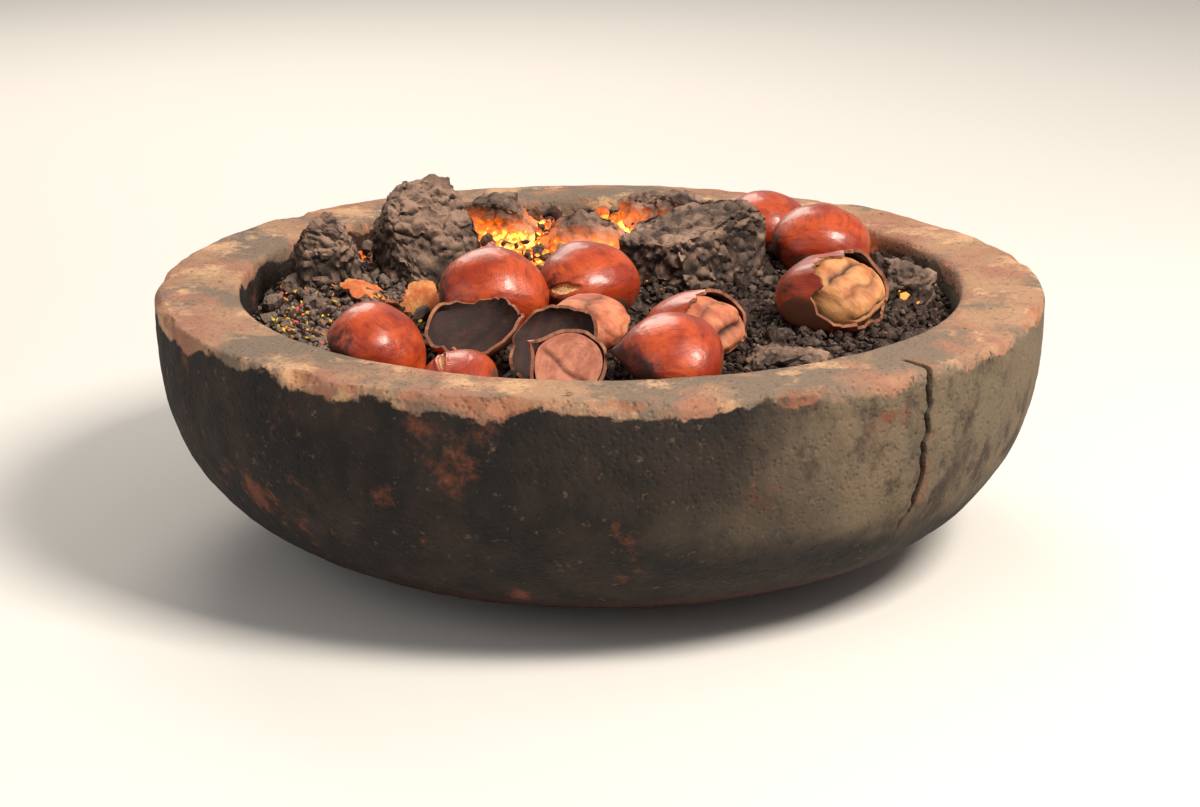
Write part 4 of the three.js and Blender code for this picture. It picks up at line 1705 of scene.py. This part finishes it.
@dataclass
class ShellFlake(NutPiece):
    """A torn flake of shell, cupped and thin."""

    half: tuple[float, float] = (9 * MM, 6 * MM)
    steps: int = 26

    def build(self, palette: Palette) -> None:
        """Models and hands over the flake."""
        name = self.node.replace("shell_flake", "husk_scrap")
        grid = bpy.ops.mesh.primitive_grid_add
        piece = Bench.primitive(name, grid, x_subdivisions=self.steps, y_subdivisions=self.steps, size=2.0)
        flat = Bench.points(piece)[:, :2]
        square = np.maximum(np.abs(flat[:, 0]), np.abs(flat[:, 1]))
        disc = flat / np.maximum(np.linalg.norm(flat, axis=1), 1e-9)[:, None] * square[:, None]
        circle = disc / np.maximum(square, 1e-9)[:, None]
        rings = np.concatenate([circle, np.zeros((len(disc), 1))], axis=1)
        jag = 0.85 + 0.22 * smooth_noise(rings, 0.5, self.seed)
        jag += 0.12 * smooth_noise(rings, 0.15, self.seed + 1)
        disc *= (1 + (jag - 1) * square**2)[:, None]
        x, z = disc[:, 0] * self.half[0], disc[:, 1] * self.half[1]
        left = 1 - (x / (self.form.width / 2)) ** 2 - (z / (16 * MM)) ** 2
        depth = self.form.thickness / 2 * np.sqrt(np.maximum(left, 0.05))
        curl = 1.0 * MM * square**3 * smooth_noise(rings, 0.6, self.seed + 2)
        local = np.stack([x, depth + curl, z], axis=1)
        self.place(piece, local, local, self.node)
        self.grain(piece, unit(local))
        Bench.paint(piece, palette.flake, palette.flake, palette.torn)
        Bench.thickened(piece, self.form.shell, 0.0)
        Bench.smooth(piece, 50)
        hand_over(piece, "nut_shell", self.node)


# ----------------------------------------------------------------------------------------------- studio


@dataclass
class Studio:
    """A pale floor, soft lights, a pale world and the camera, none of which is part of the object."""

    floor_size: float = 14.0
    floor_colour: tuple = rgb(226, 222, 216)
    world_colour: tuple = rgb(232, 230, 228)
    world_strength: float = 0.42
    distance: float = 0.98
    elevation: float = 16.8
    lens: float = 85.0
    target: tuple = (0.0, 0.0, 0.045)

    def build(self) -> None:
        """Sets the floor, the lights, the world and the camera."""
        floor = Bench.primitive("studio_floor", bpy.ops.mesh.primitive_plane_add, size=self.floor_size)
        shade = Shade("studio_floor")
        shade.set(Base_Color=self.floor_colour, Roughness=0.9)
        floor.data.materials.append(shade.material)
        key = self._light("key", (0.62, -0.5, 0.95), 0.36, 20.0, (1.0, 0.93, 0.84))
        fill = self._light("fill", (-0.9, -0.8, 0.6), 0.9, 2.6, (0.93, 0.96, 1.0))
        back = self._light("back", (-0.25, 0.95, 0.8), 0.6, 7.0, (1.0, 0.92, 0.82))
        world = bpy.data.worlds.new("studio_world")
        world.use_nodes = True
        background = world.node_tree.nodes["Background"]
        background.inputs["Color"].default_value = self.world_colour
        background.inputs["Strength"].default_value = self.world_strength
        bpy.context.scene.world = world
        self._camera()
        bpy.context.scene.view_settings.view_transform = "Standard"

    def _light(
        self, name: str, place: tuple[float, float, float], size: float, power: float, colour: tuple
    ) -> bpy.types.Object:
        """Adds one soft square light that faces the object, with its side in metres, its power in watts."""
        data = bpy.data.lights.new(name, "AREA")
        data.size = size
        data.energy = power
        data.color = colour
        light = bpy.data.objects.new(name, data)
        light.location = place
        light.rotation_euler = (Vector(self.target) - Vector(place)).to_track_quat("-Z", "Y").to_euler()
        bpy.context.scene.collection.objects.link(light)
        return light

    def _camera(self) -> None:
        """Adds the camera in front of the bowl, looking a little down on it."""
        data = bpy.data.cameras.new("camera")
        data.lens = self.lens
        camera = bpy.data.objects.new("camera", data)
        elevation = math.radians(self.elevation)
        target = Vector(self.target)
        camera.location = target + self.distance * Vector((0, -math.cos(elevation), math.sin(elevation)))
        camera.rotation_euler = (target - camera.location).to_track_quat("-Z", "Y").to_euler()
        bpy.context.scene.collection.objects.link(camera)
        bpy.context.scene.camera = camera


# ------------------------------------------------------------------------------------------------- main


def lumps() -> list[CharcoalLump]:
    """Lists the big lumps of charcoal."""
    return [
        CharcoalLump("charcoal_lump_left_tall", 2, planes=3),
        CharcoalLump("charcoal_lump_left", 31, planes=2, boxy=0.7),
        CharcoalLump("charcoal_lump_right", 3, planes=3),
        CharcoalLump("charcoal_lump_front", 4, level=5),
        CharcoalLump("charcoal_lump_back_left", 5),
        CharcoalLump("charcoal_lump_back", 6, level=5),
        CharcoalLump("charcoal_lump_back_right", 7, level=5),
        CharcoalLump("charcoal_lump_side", 8, level=5),
    ]


def nut_pieces() -> list[NutPiece]:
    """Lists every chestnut, kernel and shell."""
    middle, right = Aim(55, 12, 0), Aim(48, 16, 0)
    half = Aim(180, 35, -55)
    return [
        # The whole chestnuts' marks are painted shade on the side of each nut away from the light.
        WholeChestnut(
            "chestnut_front_left",
            Aim(335, -25, -10),
            1.04,
            1,
            dark_marks=(Mark((-0.65, -0.62, -0.45), 1.05, 0.64),),
        ),
        WholeChestnut(
            "chestnut_front_right", Aim(185, 8, -8), 1.06, 2, dark_marks=(Mark((0.54, -0.47, 0.7), 0.95, 0.6),)
        ),
        WholeChestnut(
            "chestnut_front_low",
            Aim(170, -4, -20),
            0.88,
            3,
            slits=(Slit((-0.6, 0.7, 0.5), (0.3, 0.9, 0.1), 3.4 * MM, 1.2 * MM),),
        ),
        WholeChestnut(
            "chestnut_middle_left", Aim(95, 42, 6), 1.04, 4, dark_marks=(Mark((0.91, -0.06, -0.42), 0.8, 0.52),)
        ),
        WholeChestnut(
            "chestnut_middle",
            Aim(125, 34, -8),
            1.02,
            5,
            slits=(Slit((0.35, 0.55, -0.85), (0.95, 0.45, -0.3), 5.0 * MM, 1.4 * MM),),
            dark_marks=(Mark((0.94, -0.22, -0.26), 1.05, 0.62),),
        ),
        WholeChestnut(
            "chestnut_back_right", Aim(80, 30, 10), 1.0, 6, dark_marks=(Mark((0.79, -0.08, -0.61), 0.8, 0.54),)
        ),
        WholeChestnut(
            "chestnut_far_right", Aim(160, 20, 0), 0.96, 7, dark_marks=(Mark((0.69, -0.47, 0.55), 0.7, 0.48),)
        ),
        OpenShell(
            "split_chestnut_middle_shell",
            middle,
            1.0,
            11,
            kernel_node="split_chestnut_middle_kernel",
            mouth=(-0.86, 0.5, 0.05),
            mouth_at=(-14, 6, 1),
            mouth_half=(16, 13, 15),
            dark_marks=(Mark((0.3, -0.2, -0.9), 0.6, 0.3),),
        ),
        Kernel(
            "split_chestnut_middle_kernel",
            middle,
            1.0,
            12,
            flesh=Flesh.PEELED,
            grooves=(112, 158, 205),
            groove_depth=2.6 * MM,
            lobes=1.0 * MM,
        ),
        OpenShell(
            "split_chestnut_right_shell",
            right,
            1.1,
            13,
            kernel_node="split_chestnut_right_kernel",
            mouth=(-0.83, 0.55, 0.05),
            mouth_at=(-15, 9, 1),
            mouth_half=(16, 15, 16),
            dark_marks=(Mark((0.1, -0.2, -1.0), 0.8, 0.42),),
        ),
        Kernel(
            "split_chestnut_right_kernel",
            right,
            1.1,
            14,
            grooves=(112, 146, 186),
            groove_depth=2.4 * MM,
            groove_width=2.8,
            lobes=0.7 * MM,
            dark_marks=(Mark((-0.8, -0.3, -0.6), 0.35, 0.5),),
        ),
        Kernel(
            "peeled_chestnut",
            Aim(60, 20, -10),
            0.94,
            15,
            flesh=Flesh.PEELED,
            grooves=(-60, -20, 40, 110),
            groove_depth=1.4 * MM,
            lobes=1.2 * MM,
            pit=(-0.35, 0.75, -0.75),
        ),
        OpenShell("half_chestnut_shell", half, 0.78, 16, jag=0.03, curl=0.3 * MM),
        HalfKernel("half_chestnut_kernel", half, 0.78, 17),
        OpenShell("empty_shell_left", Aim(138, 6, -14), 0.94, 18, jag=0.14, curl=0.8 * MM),
        OpenShell("empty_shell_middle", Aim(150, 16, -42), 0.86, 19, jag=0.14, curl=0.8 * MM),
        ShellFlake("shell_flake_left", Aim(70, 10, 20), 1.0, 20, half=(9 * MM, 6 * MM)),
        ShellFlake("shell_flake_middle", Aim(20, 0, -25), 1.0, 21, half=(8 * MM, 7 * MM)),
        ShellFlake("shell_flake_right", Aim(120, 40, -35), 1.0, 22, half=(8 * MM, 8 * MM)),
    ]


def main() -> None:
    """Builds the object from the bowl inwards, then the studio."""
    logging.basicConfig(level=logging.INFO, format="%(message)s")
    palette = Palette()
    Bowl().build(palette)
    bed = CharcoalBed()
    bed.build(palette)
    for lump in lumps():
        lump.build(bed, palette)
    for piece in nut_pieces():
        piece.build(palette)
    Studio().build()


if __name__ == "__main__":
    main()
